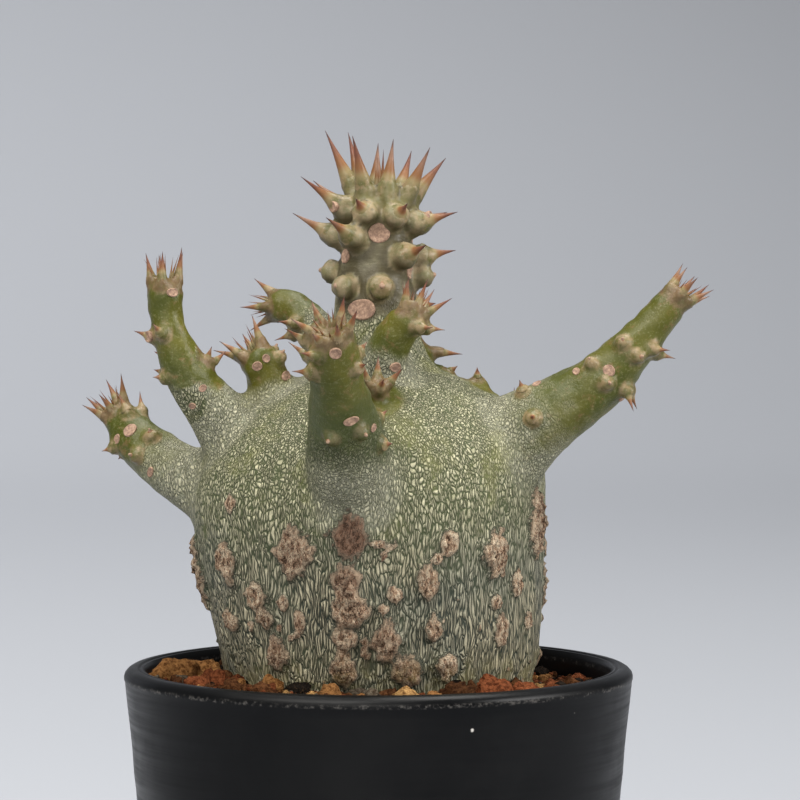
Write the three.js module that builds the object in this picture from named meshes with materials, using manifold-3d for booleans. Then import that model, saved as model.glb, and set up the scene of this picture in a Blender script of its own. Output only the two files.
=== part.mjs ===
// A potted Pachypodium windsorii: a swollen, barrel-shaped trunk with short spiny stems, growing in
// gritty mineral soil in a round black plastic pot. Millimetres, +Z up, the front towards -Y.
// The origin is the centre of the pot's flat foot.
//
// Azimuths are in degrees, seen from above: 0 faces the front, 90 the right, 180 the back.
import * as THREE from 'three';
import { mergeVertices } from 'three/addons/utils/BufferGeometryUtils.js';
import Module from 'manifold-3d';

const wasm = await Module();
wasm.setup();

// Driving dimensions of the pot
const POT_HEIGHT = 78.6;
const POT_TOP_RADIUS = 45;
const WALL = 1.5;
const BEAD_WIDTH = 3.7;
const BEAD_HEIGHT = 1.7;
// The outer wall from the foot to under the bead: [radius, height], with a soft step at the collar.
const POT_WALL = [[38, 0.8], [42.7, 54], [43.3, 60], [43.6, 64.5], [44.2, 70], [44.7, 74.6]];
const POT_FOOT_RADIUS = POT_WALL[0][0];
const FLOOR_TOP = 3;
const FOOT_RECESS = 1.2;
const FOOT_RING_WIDTH = 3;
const HUB_RADIUS = 9;
const SLOT_COUNT = 8;
const SLOT_WIDTH = 3;
const SLOT_INNER = 13;
const SLOT_OUTER = 27;
const POT_SEGMENTS = 60;

// Driving dimensions of the soil
const SOIL_TOP = 75.2;
const SOIL_GAP = 0.35;
const GRAIN_COUNT = 62;
const GRAIN_RADIUS = 3.3;
const SOIL_SEGMENTS = 40;

// Driving dimensions of the trunk, from the root's tip to the crown, as its left and right edges at each
// height when it is seen from the front: [left, right, height].
const TRUNK_EDGES = [
  [0, 0, 43], [-5.5, 6.5, 44.5], [-12.5, 13.5, 50], [-19.5, 20.5, 60], [-24, 25, 68], [-26.4, 26.8, 74],
  [-28.2, 28.6, 81], [-30.1, 29.2, 90], [-31.7, 29.2, 97], [-32.8, 29.2, 104], [-33, 29.2, 109],
  [-31.4, 29, 114], [-28.5, 27.8, 119], [-24.6, 24.6, 123.2], [-19, 20, 127], [-12, 12.6, 130.4],
  [-5, 5.2, 132.4], [0, 0, 133],
];
const TRUNK_DEPTH_SHARE = 0.93;
const TRUNK_SEGMENTS = 46;
const TRUNK_RINGS = 23;

// Corky scars that stand out of the bark: [azimuth, height, width, length, thickness].
const SCARS = [
  [-9, 101.5, 6.5, 9.5, 1.0], [-9, 91, 7.5, 11, 1.5], [-10, 84.5, 6, 7, 1.3], [-11, 77.5, 6, 7.5, 1.5],
  [-29, 98.5, 8, 9.5, 1.3], [-45, 92, 5.5, 8, 1.3], [-40, 86.5, 4.5, 5, 1.2], [-58, 96, 4, 8, 1.1],
  [-50, 85.5, 4, 5, 1.0], [-33, 80, 4.5, 7, 1.2], [-78, 95, 5, 13, 1.3], [5, 83, 5.5, 7, 1.5],
  [12, 78, 6, 8, 1.6], [19, 93.5, 4, 5.5, 1.2], [26, 102, 4, 4, 1.0], [45, 98.5, 5, 8, 1.3],
  [20, 85, 3.5, 5, 1.1], [46, 90, 3.2, 3.6, 1.0], [48, 85, 3.5, 5, 1.1], [72, 102, 5.5, 15, 1.4],
  [27, 79, 4.5, 5, 1.2], [100, 92, 5, 9, 1.2], [120, 99, 5, 7, 1.2], [126, 83, 6, 8, 1.4],
  [145, 92, 5, 6, 1.2], [163, 101, 5, 9, 1.1], [172, 84, 6, 9, 1.4], [192, 94, 5, 7, 1.2],
  [210, 82, 5, 6, 1.3], [222, 98, 6, 10, 1.2], [247, 86, 5, 8, 1.2],
];

// Each stem: its line and girth from the root inside the trunk to the tip, [x, y, z, radius]; its pairs
// of spines, [share of the way along, azimuth about the stem, lean towards the tip, spine length]; the
// spines of the crown at its tip, [azimuth, lean, spine length]; and how many sides its tube has.
const STEMS = [
  {
    name: 'main',
    line: [
      [0, 0, 121, 16], [0, 0, 129, 12.2], [0, 0, 136, 9.2], [-0.3, 0, 143, 7.4], [-0.4, 0, 149, 6.6],
      [0.1, 0, 155, 5.6], [0.6, 0, 160, 4.6], [0.8, 0, 163, 2.6],
    ],
    pairs: [
      [0.4, 150, 10, 2.6], [0.53, -12, 6, 0.4], [0.53, 112, 10, 0.8], [0.54, 228, 10, 0.8],
      [0.665, -62, 22, 7.3], [0.615, 64, 18, 4.7], [0.66, 180, 20, 6], [0.775, 0, 28, 3.2],
      [0.78, -98, 29, 8.6], [0.755, 98, 23, 6.2], [0.79, 190, 30, 6.4],
    ],
    crown: [
      [-98, 60, 10.6], [-132, 66, 10], [-40, 67, 9], [60, 66, 8.1], [98, 55, 7.8], [150, 62, 7.9],
      [10, 86, 8], [200, 86, 7.4],
    ],
    crownShare: 0.86,
    spur: 'stout',
    sides: 12,
  },
  {
    name: 'right',
    line: [
      [12, -3, 111.6, 11.6], [20, -5, 116.2, 9.4], [26, -8, 120.8, 7.4], [31, -10, 124.2, 6],
      [36.5, -11, 127.8, 5.2], [40.5, -11.5, 131.2, 4.6], [43.5, -12, 134.6, 3.9], [46.3, -12, 137.6, 3.4],
      [49, -12, 140.8, 3.2], [50.9, -12, 143, 2.9], [51.9, -12, 144.1, 1.9],
    ],
    pairs: [
      [0.26, -40, 20, 1.4], [0.42, 178, 50, 3.4], [0.46, -18, 20, 0.8], [0.5, 84, -22, 3.4],
      [0.57, 190, 40, 0.8], [0.66, 70, 30, 2.8], [0.6, -4, 30, 0.6],
    ],
    crown: [
      [0, 62, 4.2], [60, 70, 4.4], [120, 58, 3.8], [178, 64, 4.4], [235, 72, 4.2], [300, 80, 3.8], [90, 84, 4.2],
    ],
    spur: 'slim',
    sides: 10,
  },
  {
    name: 'left upper',
    line: [
      [-19, -2, 112, 9], [-24.6, -4, 118.6, 6.6], [-28.8, -6, 124.2, 5], [-32.4, -8, 129, 4.2],
      [-34.6, -9, 133.6, 3.7], [-36.2, -9, 137.6, 3.1], [-36.9, -9, 141, 2.9], [-37, -9, 144.6, 3.2],
      [-37, -9, 146.6, 2.2],
    ],
    pairs: [[0.44, -92, 30, 1.4], [0.62, -48, 38, 2.6], [0.5, 190, 30, 2.6]],
    crown: [[-86, 78, 4.2], [-10, 84, 4.4], [70, 82, 5.2], [120, 78, 4.4], [200, 74, 4]],
    spur: 'slim',
    sides: 10,
  },
  {
    name: 'left upper shoot',
    line: [[-32.6, -8, 126.6, 3.4], [-31, -8, 130, 2.4], [-29.8, -8, 133, 1.5]],
    pairs: [],
    crown: [[0, 70, 2], [80, 62, 2.2]],
    spur: 'short',
    sides: 6,
  },
  {
    name: 'left lower',
    line: [
      [-20, 1, 105.5, 9], [-29, 1, 109.8, 6.9], [-35.3, 3, 112.6, 5.3], [-40.4, 6, 116, 4.7],
      [-43.4, 8, 118.4, 4.2], [-45.6, 10, 120.8, 3.6], [-46.9, 11, 122.4, 3.1], [-47.6, 11, 123.3, 2],
    ],
    pairs: [[0.42, 6, 20, 0.8], [0.46, 176, 40, 2.4], [0.6, -96, 20, 1.4], [0.66, 60, 62, 3.6]],
    crown: [[-60, 66, 4], [0, 74, 3.6], [80, 56, 4.6], [150, 66, 4.2], [230, 70, 3.8]],
    spur: 'slim',
    sides: 10,
  },
  {
    name: 'front',
    line: [
      [-1.5, -12, 106, 8.6], [-4.6, -24.5, 114, 7.6], [-5.3, -31, 120, 6.6], [-6, -36, 125.4, 5.5],
      [-6.6, -40, 130.4, 4.5], [-7.1, -43.5, 134.7, 4.1], [-7.3, -45.5, 137.2, 3.8], [-7.5, -46.5, 138.5, 2.5],
    ],
    pairs: [
      [0.3, 92, 20, 1.2], [0.4, 4, 20, 0.8], [0.66, -88, 34, 3.6], [0.8, -70, 40, 3.8],
      [0.66, 84, 40, 1.6], [0.55, 180, 30, 3],
    ],
    crown: [[-100, 50, 3.8], [-40, 60, 2.6], [20, 70, 3.4], [75, 60, 4], [140, 62, 3.6], [210, 66, 3.6]],
    spur: 'slim',
    sides: 10,
  },
  {
    name: 'left bud stem',
    line: [[-12, -2, 119, 6.5], [-18, -3, 126.6, 4.6], [-19.8, -4, 130.6, 3.6], [-21.2, -5, 133.2, 3.4], [-22, -5, 134.4, 2.2]],
    pairs: [[0.6, 100, 30, 0.8]],
    crown: [[-100, 52, 4.4], [-60, 66, 3.8], [70, 70, 4.2], [180, 60, 3.6]],
    spur: 'slim',
    sides: 8,
  },
  {
    name: 'behind left',
    line: [[-4, 6, 128, 6], [-9.5, 10, 136, 3.8], [-12.6, 12, 139.4, 3.3], [-15.6, 13.5, 141.6, 3.2], [-18, 14.5, 142.2, 3], [-19, 15, 142.3, 2]],
    pairs: [[0.4, -60, 30, 3]],
    crown: [[-90, 60, 4.4], [-10, 70, 4], [90, 58, 3.8], [180, 66, 4]],
    spur: 'slim',
    sides: 8,
  },
  {
    name: 'right of main',
    line: [[2, -6, 124, 6], [1.2, -11, 131.3, 4.4], [2, -13, 135.4, 3.6], [3.9, -14, 138.4, 3.3], [5.2, -14.5, 140.2, 3.2], [5.7, -14.5, 141.4, 2]],
    pairs: [[0.78, 70, 30, 2.6]],
    crown: [[-40, 74, 4.4], [20, 84, 5], [80, 48, 4.8], [140, 66, 4.4], [220, 70, 4.2]],
    spur: 'slim',
    sides: 8,
  },
  {
    name: 'front tuft',
    line: [[-0.5, -14, 121, 4], [-0.4, -18.5, 126, 2.8], [-0.2, -20, 129, 2]],
    pairs: [],
    crown: [[-60, 72, 4], [20, 60, 2], [90, 56, 3.2], [180, 70, 3]],
    spur: 'slim',
    sides: 6,
  },
  {
    name: 'right shoulder bud',
    line: [[1.5, 2, 126, 5], [6, 5, 131.6, 3.2], [8.2, 6, 134, 2.4]],
    pairs: [],
    crown: [[90, 30, 3.6], [-60, 50, 0.8]],
    spur: 'slim',
    sides: 6,
  },
  {
    name: 'right low bud',
    line: [[6, 3, 124, 5], [10.6, 5, 129, 2.7], [12.4, 5.5, 130.4, 1.8]],
    pairs: [],
    crown: [[90, 40, 1.6], [0, 50, 1.2]],
    spur: 'short',
    sides: 6,
  },
  {
    name: 'right round bud',
    line: [[16, -1, 118, 5], [17.4, 0, 125, 2.8], [17.5, 0.5, 128, 2.4], [17.5, 0.5, 129.6, 1.2]],
    pairs: [],
    crown: [[0, 76, 1], [180, 76, 1]],
    spur: 'short',
    sides: 6,
  },
  {
    name: 'back',
    line: [[-2, 9, 114, 9], [-5, 22, 122, 6], [-5.5, 28, 128, 4.6], [-4.5, 32.5, 134, 4], [-3.5, 34.5, 138, 3.6], [-3.2, 35, 139.4, 2.4]],
    pairs: [[0.52, 180, 30, 3], [0.7, 60, 40, 3]],
    crown: [[0, 66, 4], [75, 72, 4], [150, 62, 4], [220, 70, 4], [290, 66, 4]],
    spur: 'slim',
    sides: 8,
  },
  {
    name: 'back right',
    line: [[12, 13, 106, 8.5], [19.5, 23, 111, 5.8], [24, 29.5, 115.5, 4.4], [26.5, 33, 119.5, 3.6], [27.3, 34, 121.2, 2.4]],
    pairs: [[0.6, 160, 40, 3]],
    crown: [[0, 66, 3.8], [90, 70, 4], [180, 62, 4], [270, 70, 3.8]],
    spur: 'slim',
    sides: 8,
  },
  {
    name: 'back left',
    line: [[-13, 12, 105, 8.5], [-20.5, 21, 109.5, 5.8], [-25, 27.5, 114, 4.4], [-27.5, 31, 118, 3.7], [-28.2, 32, 119.8, 2.4]],
    pairs: [[0.6, 200, 40, 3]],
    crown: [[0, 66, 3.8], [90, 70, 4], [180, 62, 4], [270, 70, 3.8]],
    spur: 'slim',
    sides: 8,
  },
];

// A spine stands on a swollen foot, the spur, which runs out into it.
const SPURS = {
  stout: { foot: 2.35, rise: 3.6, halfGap: 25 },
  slim: { foot: 1.4, rise: 1.6, halfGap: 27 },
  short: { foot: 1.1, rise: 1.1, halfGap: 30 },
};
const SPUR_SINK = 1.6;
const CROWN_SHARE = 0.95;

// One large stone and the other grains that show plainly: [x, y, radius, top height].
const MARKED_GRAINS = [
  [-35.2, -3, 4.6, 80.2], [-30.5, 1.5, 3.2, 78.4], [19.6, -33, 3.7, 80], [24.6, -30.4, 2.4, 78.9],
  [13.2, -34.6, 2.9, 79.2], [9.6, -36, 1.9, 77.9], [4.6, -36.4, 2.3, 78.4], [-12.6, -35.4, 1.9, 77.6],
  [29.6, -26.4, 2.2, 78.2], [-7.4, -36.6, 1.6, 77.4],
];

const FRONT = new THREE.Vector3(0, -1, 0);

// A small seeded random number generator, so that the part is the same each time it is built.
function seededRandom(seed) {
  let state = seed;
  return () => {
    state = (state + 0x6d2b79f5) | 0;
    let t = Math.imul(state ^ (state >>> 15), 1 | state);
    t = (t + Math.imul(t ^ (t >>> 7), 61 | t)) ^ t;
    return ((t ^ (t >>> 14)) >>> 0) / 4294967296;
  };
}

// A closed geometry as a solid, and a solid as a geometry.
function solidOf(geometry) {
  const bare = geometry.clone();
  bare.deleteAttribute('normal');
  bare.deleteAttribute('uv');
  const merged = mergeVertices(bare, 1e-4);
  return new wasm.Manifold(new wasm.Mesh({
    numProp: 3,
    vertProperties: merged.attributes.position.array,
    triVerts: new Uint32Array(merged.index.array),
  }));
}

function geometryOf(solid) {
  const mesh = solid.getMesh();
  const geometry = new THREE.BufferGeometry();
  geometry.setAttribute('position', new THREE.BufferAttribute(new Float32Array(mesh.vertProperties), 3));
  geometry.setIndex(new THREE.BufferAttribute(new Uint32Array(mesh.triVerts), 1));
  geometry.computeVertexNormals();
  return geometry;
}

// Keeps the largest closed surface of a solid, so that no scrap and no sealed pocket is left in it.
function largestBody(solid) {
  return solid.decompose().sort((a, b) => b.volume() - a.volume())[0];
}

// Moves each vertex of a geometry to where the function puts it.
function reshape(geometry, place) {
  const position = geometry.attributes.position;
  const point = new THREE.Vector3();
  for (let i = 0; i < position.count; i += 1) {
    place(point.fromBufferAttribute(position, i));
    position.setXYZ(i, point.x, point.y, point.z);
  }
  return geometry;
}

// A profile of [radius, height] points turned about the Z axis, starting at the front.
function turned(profile, segments) {
  const points = profile.map(([radius, height]) => new THREE.Vector2(radius, height));
  return new THREE.LatheGeometry(points, segments).rotateX(Math.PI / 2);
}

// The pot: a tapered shell with a collar, a rounded bead at the rim and a slotted floor.
function potInnerRadius(height) {
  return THREE.MathUtils.mapLinear(height, 0, POT_HEIGHT, POT_FOOT_RADIUS - WALL, POT_TOP_RADIUS - BEAD_WIDTH);
}

function makePot() {
  const beadFoot = POT_HEIGHT - BEAD_HEIGHT;
  const beadMiddle = POT_TOP_RADIUS - BEAD_WIDTH / 2;
  const ringInner = POT_FOOT_RADIUS - FOOT_RING_WIDTH;
  const profile = [
    [0, 0], [HUB_RADIUS, 0], [HUB_RADIUS + 0.4, FOOT_RECESS], [ringInner - 0.4, FOOT_RECESS],
    [ringInner, 0], [POT_FOOT_RADIUS - 0.6, 0], ...POT_WALL, [POT_TOP_RADIUS, beadFoot],
    [POT_TOP_RADIUS - 0.3, POT_HEIGHT - 0.6], [beadMiddle + 0.5, POT_HEIGHT],
    [beadMiddle - 0.9, POT_HEIGHT - 0.1], [potInnerRadius(POT_HEIGHT), POT_HEIGHT - 0.9],
    [potInnerRadius(beadFoot - 1), beadFoot - 1], [potInnerRadius(FLOOR_TOP + 1), FLOOR_TOP + 1],
    [potInnerRadius(FLOOR_TOP) - 1, FLOOR_TOP], [0, FLOOR_TOP],
  ];
  let pot = solidOf(turned(profile, POT_SEGMENTS));
  for (let i = 0; i < SLOT_COUNT; i += 1) {
    const slot = new THREE.BoxGeometry(SLOT_OUTER - SLOT_INNER, SLOT_WIDTH, 4 * FLOOR_TOP);
    slot.translate((SLOT_INNER + SLOT_OUTER) / 2, 0, 0);
    slot.rotateZ(2 * Math.PI * (i + 0.5) / SLOT_COUNT);
    pot = pot.subtract(solidOf(slot));
  }
  return geometryOf(pot);
}

// The trunk: round and slightly flattened front to back, between its left and right edges, with low
// lobes and the corky scars raised from its surface.
function scarHeight(azimuth, height, radius) {
  let raised = 0;
  for (const [scarAzimuth, scarMiddle, width, length, thickness] of SCARS) {
    const turn = THREE.MathUtils.euclideanModulo(azimuth - scarAzimuth + 180, 360) - 180;
    const across = THREE.MathUtils.degToRad(turn) * radius / (width / 2);
    const along = (height - scarMiddle) / (length / 2);
    raised = Math.max(raised, thickness * Math.exp(-((across ** 2 + along ** 2) ** 1.5)));
  }
  return raised;
}

function trunkGeometry(clearance) {
  const edges = new THREE.CatmullRomCurve3(TRUNK_EDGES.map((edge) => new THREE.Vector3(...edge)), false, 'centripetal');
  const rings = edges.getSpacedPoints(TRUNK_RINGS);
  const profile = rings.map(({ x: left, y: right }, i) => [i % TRUNK_RINGS === 0 ? 0 : (right - left) / 2, i]);
  return reshape(turned(profile, TRUNK_SEGMENTS), (p) => {
    const { x: left, y: right, z: height } = rings[Math.round(p.z)];
    const radius = Math.hypot(p.x, p.y);
    const azimuth = Math.atan2(p.x, -p.y);
    const lobes = 0.4 * Math.sin(4 * azimuth + height / 16) + 0.25 * Math.sin(7 * azimuth - height / 11);
    const wave = THREE.MathUtils.smoothstep(height, 66, 84) * THREE.MathUtils.smoothstep(radius, 8, 24);
    const raised = scarHeight(THREE.MathUtils.radToDeg(azimuth), height, radius);
    const full = radius < 1e-6 ? 0 : radius + wave * lobes + raised + clearance;
    p.set(
      (left + right) / 2 + full * Math.sin(azimuth),
      -TRUNK_DEPTH_SHARE * full * Math.cos(azimuth),
      height - clearance,
    );
  });
}

// A stem's line and girth as curves over the same share of the way along.
function stemCurves(stem) {
  const line = new THREE.CatmullRomCurve3(stem.line.map(([x, y, z]) => new THREE.Vector3(x, y, z)), false, 'catmullrom');
  const girth = new THREE.SplineCurve(stem.line.map(([, , , radius], i) => new THREE.Vector2(i, radius)));
  return { line, girth };
}

// The point, direction, front, side and radius of a stem at a share of the way along it.
function stemFrame({ line, girth }, share) {
  const middle = line.getPoint(share);
  const along = line.getTangent(share).normalize();
  const front = FRONT.clone().addScaledVector(along, -FRONT.dot(along)).normalize();
  const side = new THREE.Vector3().crossVectors(along, front);
  return { middle, along, front, side, radius: girth.getPoint(share).y };
}

function radialOf(frame, azimuth) {
  const turn = THREE.MathUtils.degToRad(azimuth);
  return frame.front.clone().multiplyScalar(Math.cos(turn)).addScaledVector(frame.side, Math.sin(turn));
}

// A tube of the stem's girth along its line.
function stemGeometry(stem, curves) {
  const rings = Math.round(1.5 * (stem.line.length - 1));
  const tube = new THREE.CylinderGeometry(1, 1, 1, stem.sides, rings);
  return reshape(tube, (p) => {
    const frame = stemFrame(curves, THREE.MathUtils.clamp(p.y + 0.5, 0, 1));
    const { x, z } = p;
    p.copy(frame.middle).addScaledVector(frame.front, x * frame.radius).addScaledVector(frame.side, -z * frame.radius);
  });
}

// A spine on its swollen foot, standing at a point and aimed along a direction.
function spurGeometry(base, aim, profile, sides) {
  const turn = new THREE.Quaternion().setFromUnitVectors(new THREE.Vector3(0, 0, 1), aim);
  return turned(profile, sides).applyQuaternion(turn).translate(base.x, base.y, base.z);
}

function spursOf(stem, curves) {
  const { foot, rise, halfGap } = SPURS[stem.spur];
  const crownShare = stem.crownShare ?? CROWN_SHARE;
  const spurs = [];
  const place = (frame, azimuth, lean, profile, sides) => {
    const radial = radialOf(frame, azimuth);
    const tilt = THREE.MathUtils.degToRad(lean);
    const aim = radial.clone().multiplyScalar(Math.cos(tilt)).addScaledVector(frame.along, Math.sin(tilt));
    const base = frame.middle.clone().addScaledVector(radial, Math.max(0, frame.radius - 0.5));
    spurs.push(spurGeometry(base, aim, profile, sides));
  };
  for (const [share, azimuth, lean, length] of stem.pairs) {
    const full = rise + length;
    const profile = [[0, -SPUR_SINK], [foot, 0.7 * rise], [0.4 * foot, 0.45 * rise + 0.4 * full], [0, full]];
    for (const side of [-1, 1]) {
      place(stemFrame(curves, share), azimuth + side * halfGap, lean, profile, 5);
    }
  }
  for (const [azimuth, lean, length] of stem.crown) {
    const profile = [[0, -SPUR_SINK], [0.85 * foot, 0.3 * rise], [0, rise + length]];
    place(stemFrame(curves, crownShare), azimuth, lean, profile, 5);
  }
  return spurs;
}

function makePlant() {
  let plant = solidOf(trunkGeometry(0));
  for (const stem of STEMS) {
    const curves = stemCurves(stem);
    plant = plant.add(solidOf(stemGeometry(stem, curves)));
    for (const spur of spursOf(stem, curves)) {
      plant = plant.add(solidOf(spur));
    }
  }
  return geometryOf(largestBody(plant));
}

// The soil: a plug that fills the pot, lowest at the back right, with its grains standing out of its
// top, and a plain hole for the trunk's root.
function soilTop(x, y) {
  return SOIL_TOP - 0.03 * x - 0.035 * y;
}

function grainGeometry(x, y, top, radius, random) {
  const grain = new THREE.IcosahedronGeometry(radius, 0);
  const stretch = new THREE.Vector3(0.85 + 0.3 * random(), 0.85 + 0.3 * random(), 0.75 + 0.25 * random());
  grain.scale(stretch.x, stretch.y, stretch.z);
  grain.rotateZ(Math.PI * random()).rotateX(0.6 * (random() - 0.5));
  return grain.translate(x, y, top - 0.85 * radius);
}

function makeSoil() {
  const bottom = FLOOR_TOP + 0.02;
  const floorRadius = potInnerRadius(FLOOR_TOP + 1) - SOIL_GAP;
  const topRadius = potInnerRadius(SOIL_TOP) - SOIL_GAP;
  const sides = [[0, bottom], [floorRadius - 1.6, bottom], [floorRadius, bottom + 1.6]];
  const room = turned([...sides, [topRadius, SOIL_TOP], [topRadius, POT_HEIGHT + 5], [0, POT_HEIGHT + 5]], SOIL_SEGMENTS);
  const plug = reshape(turned([...sides, [topRadius, SOIL_TOP], [0, SOIL_TOP]], SOIL_SEGMENTS), (p) => {
    if (p.z > SOIL_TOP - 1) {
      p.z = soilTop(p.x, p.y);
    }
  });
  let soil = solidOf(plug);
  const random = seededRandom(7);
  const inner = 27;
  const outer = topRadius - 2.6;
  for (const [x, y, radius, top] of MARKED_GRAINS) {
    soil = soil.add(solidOf(grainGeometry(x, y, top, radius, random)));
  }
  const goldenTurn = Math.PI * (3 - Math.sqrt(5));
  for (let i = 0; i < GRAIN_COUNT; i += 1) {
    const distance = Math.sqrt(THREE.MathUtils.lerp(inner ** 2, outer ** 2, (i + 0.5) / GRAIN_COUNT));
    const turn = i * goldenTurn;
    const radius = GRAIN_RADIUS * (0.7 + 0.5 * random());
    const x = distance * Math.cos(turn);
    const y = distance * Math.sin(turn);
    soil = soil.add(solidOf(grainGeometry(x, y, soilTop(x, y) + 0.5 * radius + 0.8 * random(), radius, random)));
  }
  soil = soil.intersect(solidOf(room)).subtract(solidOf(trunkGeometry(SOIL_GAP)));
  return geometryOf(largestBody(soil));
}

// The materials, with the colours, roughness and metalness that each piece shows.
const blackPlastic = new THREE.MeshStandardMaterial({ color: 0x1b1d1f, roughness: 0.45, metalness: 0 });
const bark = new THREE.MeshStandardMaterial({ color: 0x8d9277, roughness: 0.75, metalness: 0 });
const grit = new THREE.MeshStandardMaterial({ color: 0x8a5a3a, roughness: 0.95, metalness: 0 });

function named(name, geometry, material) {
  const mesh = new THREE.Mesh(geometry, material);
  mesh.name = name;
  return mesh;
}

const pottedPlant = new THREE.Group();
pottedPlant.add(named('pot', makePot(), blackPlastic));
pottedPlant.add(named('soil', makeSoil(), grit));
pottedPlant.add(named('plant', makePlant(), bark));

export default pottedPlant;
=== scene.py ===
"""A potted Pachypodium windsorii: swollen spiny trunk, short branches, gritty soil, black plastic pot."""
import math
import random
from collections import namedtuple

import bmesh
import bpy
from mathutils import Matrix, Vector, noise
from mathutils.bvhtree import BVHTree
from mathutils.kdtree import KDTree


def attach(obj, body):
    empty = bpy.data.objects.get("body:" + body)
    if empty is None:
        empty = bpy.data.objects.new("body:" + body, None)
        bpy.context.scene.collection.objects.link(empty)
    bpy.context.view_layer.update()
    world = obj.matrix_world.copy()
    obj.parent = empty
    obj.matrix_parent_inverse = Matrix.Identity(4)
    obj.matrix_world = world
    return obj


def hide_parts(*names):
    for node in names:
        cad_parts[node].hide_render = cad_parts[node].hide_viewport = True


bl_info = {
    "name": "Potted Pachypodium",
    "version": (1, 0, 0),
    "blender": (4, 5, 0),
    "location": "View3D > Sidebar > Plant",
    "description": "Makes a potted caudex plant with spines, its soil and its pot",
    "category": "Object",
}

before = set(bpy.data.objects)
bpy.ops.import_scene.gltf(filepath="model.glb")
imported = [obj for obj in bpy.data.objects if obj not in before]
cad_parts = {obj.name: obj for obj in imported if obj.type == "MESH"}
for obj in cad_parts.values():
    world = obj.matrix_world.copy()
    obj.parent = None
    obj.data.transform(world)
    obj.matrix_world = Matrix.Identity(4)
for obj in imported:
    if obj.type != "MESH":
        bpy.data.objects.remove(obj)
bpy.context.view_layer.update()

# Sizes are in millimetres unless a comment says metres. The front faces -Y; the origin is under the pot.
# Azimuths are in degrees, seen from above: 0 faces the front, 90 the right, 180 the back.
MM = 0.001
FRONT = Vector((0, -1, 0))
UP = Vector((0, 0, 1))
SEED = 7

# Pot, outside from the foot to under the bead, as [radius, height]
POT_WALL = [
    [38, 0.8], [40.4, 28], [42.7, 54], [42.95, 57], [43.3, 60], [43.45, 62.4], [43.6, 64.5], [43.9, 67.4],
    [44.2, 70], [44.5, 72.6], [44.7, 74.6],
]
# Bead at the rim, over its top to the inside, as [radius, height]
POT_BEAD = [
    [44.85, 76.2], [45, 76.6], [45, 77.1], [44.85, 77.6], [44.4, 78.1], [43.8, 78.45], [43.1, 78.6],
    [42.65, 78.55], [42.35, 78.25], [42.15, 78.25], [41.95, 78.45], [41.6, 78.4], [41.35, 78.05],
    [41.2, 77.3], [41.1, 75.9],
]
POT_FLOOR_TOP = 3.0
POT_FOOT_RECESS = 1.2
POT_FOOT_RING = 3.0
POT_HUB_RADIUS = 9.0
POT_INNER_FOOT = 36.5
# Drain slots: how many, and where they begin, end and how wide they are
POT_SLOTS = 8
POT_SLOT = (13.0, 27.0, 3.0)

# Soil: its mean top height, how it falls to the right and to the back, its edge and the trunk's hole
SOIL_TOP = 75.2
SOIL_FALL_RIGHT = 0.03
SOIL_FALL_BACK = 0.035
SOIL_RADIUS = 40.9
SOIL_HOLE = 24.5
SOIL_HOLE_DEPTH = 16
SOIL_STEPS = 140
# Loose grains lie outside the first radius, and clear of the trunk, whose radius is the second
GRAINS_FROM = 26.0
GRAINS_CLEAR = 27.4
# Radii above which a grain gets a finer surface
GRAIN_LIMITS = (1.4, 2.6)

# Grains that show plainly: [x, y, radius, top height, kind]
MARKED_GRAINS = [
    [-35.2, -3, 4.6, 80.2, "tan"], [-30.5, 1.5, 3.2, 78.4, "tan"], [19.6, -33, 3.7, 80, "rust"],
    [24.6, -30.4, 2.4, 78.9, "rust"], [13.2, -34.6, 2.9, 79.2, "brown"], [9.6, -36, 1.9, 77.9, "tan"],
    [4.6, -36.4, 2.3, 78.4, "sand"], [-12.6, -35.4, 1.9, 77.6, "black"], [29.6, -26.4, 2.2, 78.2, "rust"],
    [-7.4, -36.6, 1.6, 77.4, "tan"],
]
# The kinds that the scattered grains are drawn from, and each kind's colour
GRAIN_KINDS = ["rust"] * 4 + ["brown"] * 4 + ["tan"] * 4 + ["sand"] + ["black"] * 2 + ["grey"]
GRAIN_TONES = {
    "rust": (0.16, 0.05, 0.02), "brown": (0.085, 0.035, 0.014), "tan": (0.26, 0.125, 0.044),
    "sand": (0.38, 0.22, 0.085), "black": (0.016, 0.012, 0.009), "grey": (0.11, 0.09, 0.065),
}

# Trunk from the soil to the crown, as its left and right edges seen from the front: [left, right, height]
TRUNK_EDGES = [
    [-22.5, 23.5, 64], [-24.2, 25, 68], [-26.4, 26.8, 74], [-28.2, 28.6, 81], [-30.1, 29.2, 90],
    [-31.7, 29.2, 97], [-32.8, 29.2, 104], [-33, 29.2, 109], [-31.4, 29, 114], [-28.5, 27.8, 119],
    [-24.6, 24.6, 123.2], [-19, 20, 127], [-12, 12.6, 130.4], [-5, 5.2, 132.4], [-0.3, 0.3, 132.9],
]
TRUNK_DEPTH_SHARE = 0.93

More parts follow.
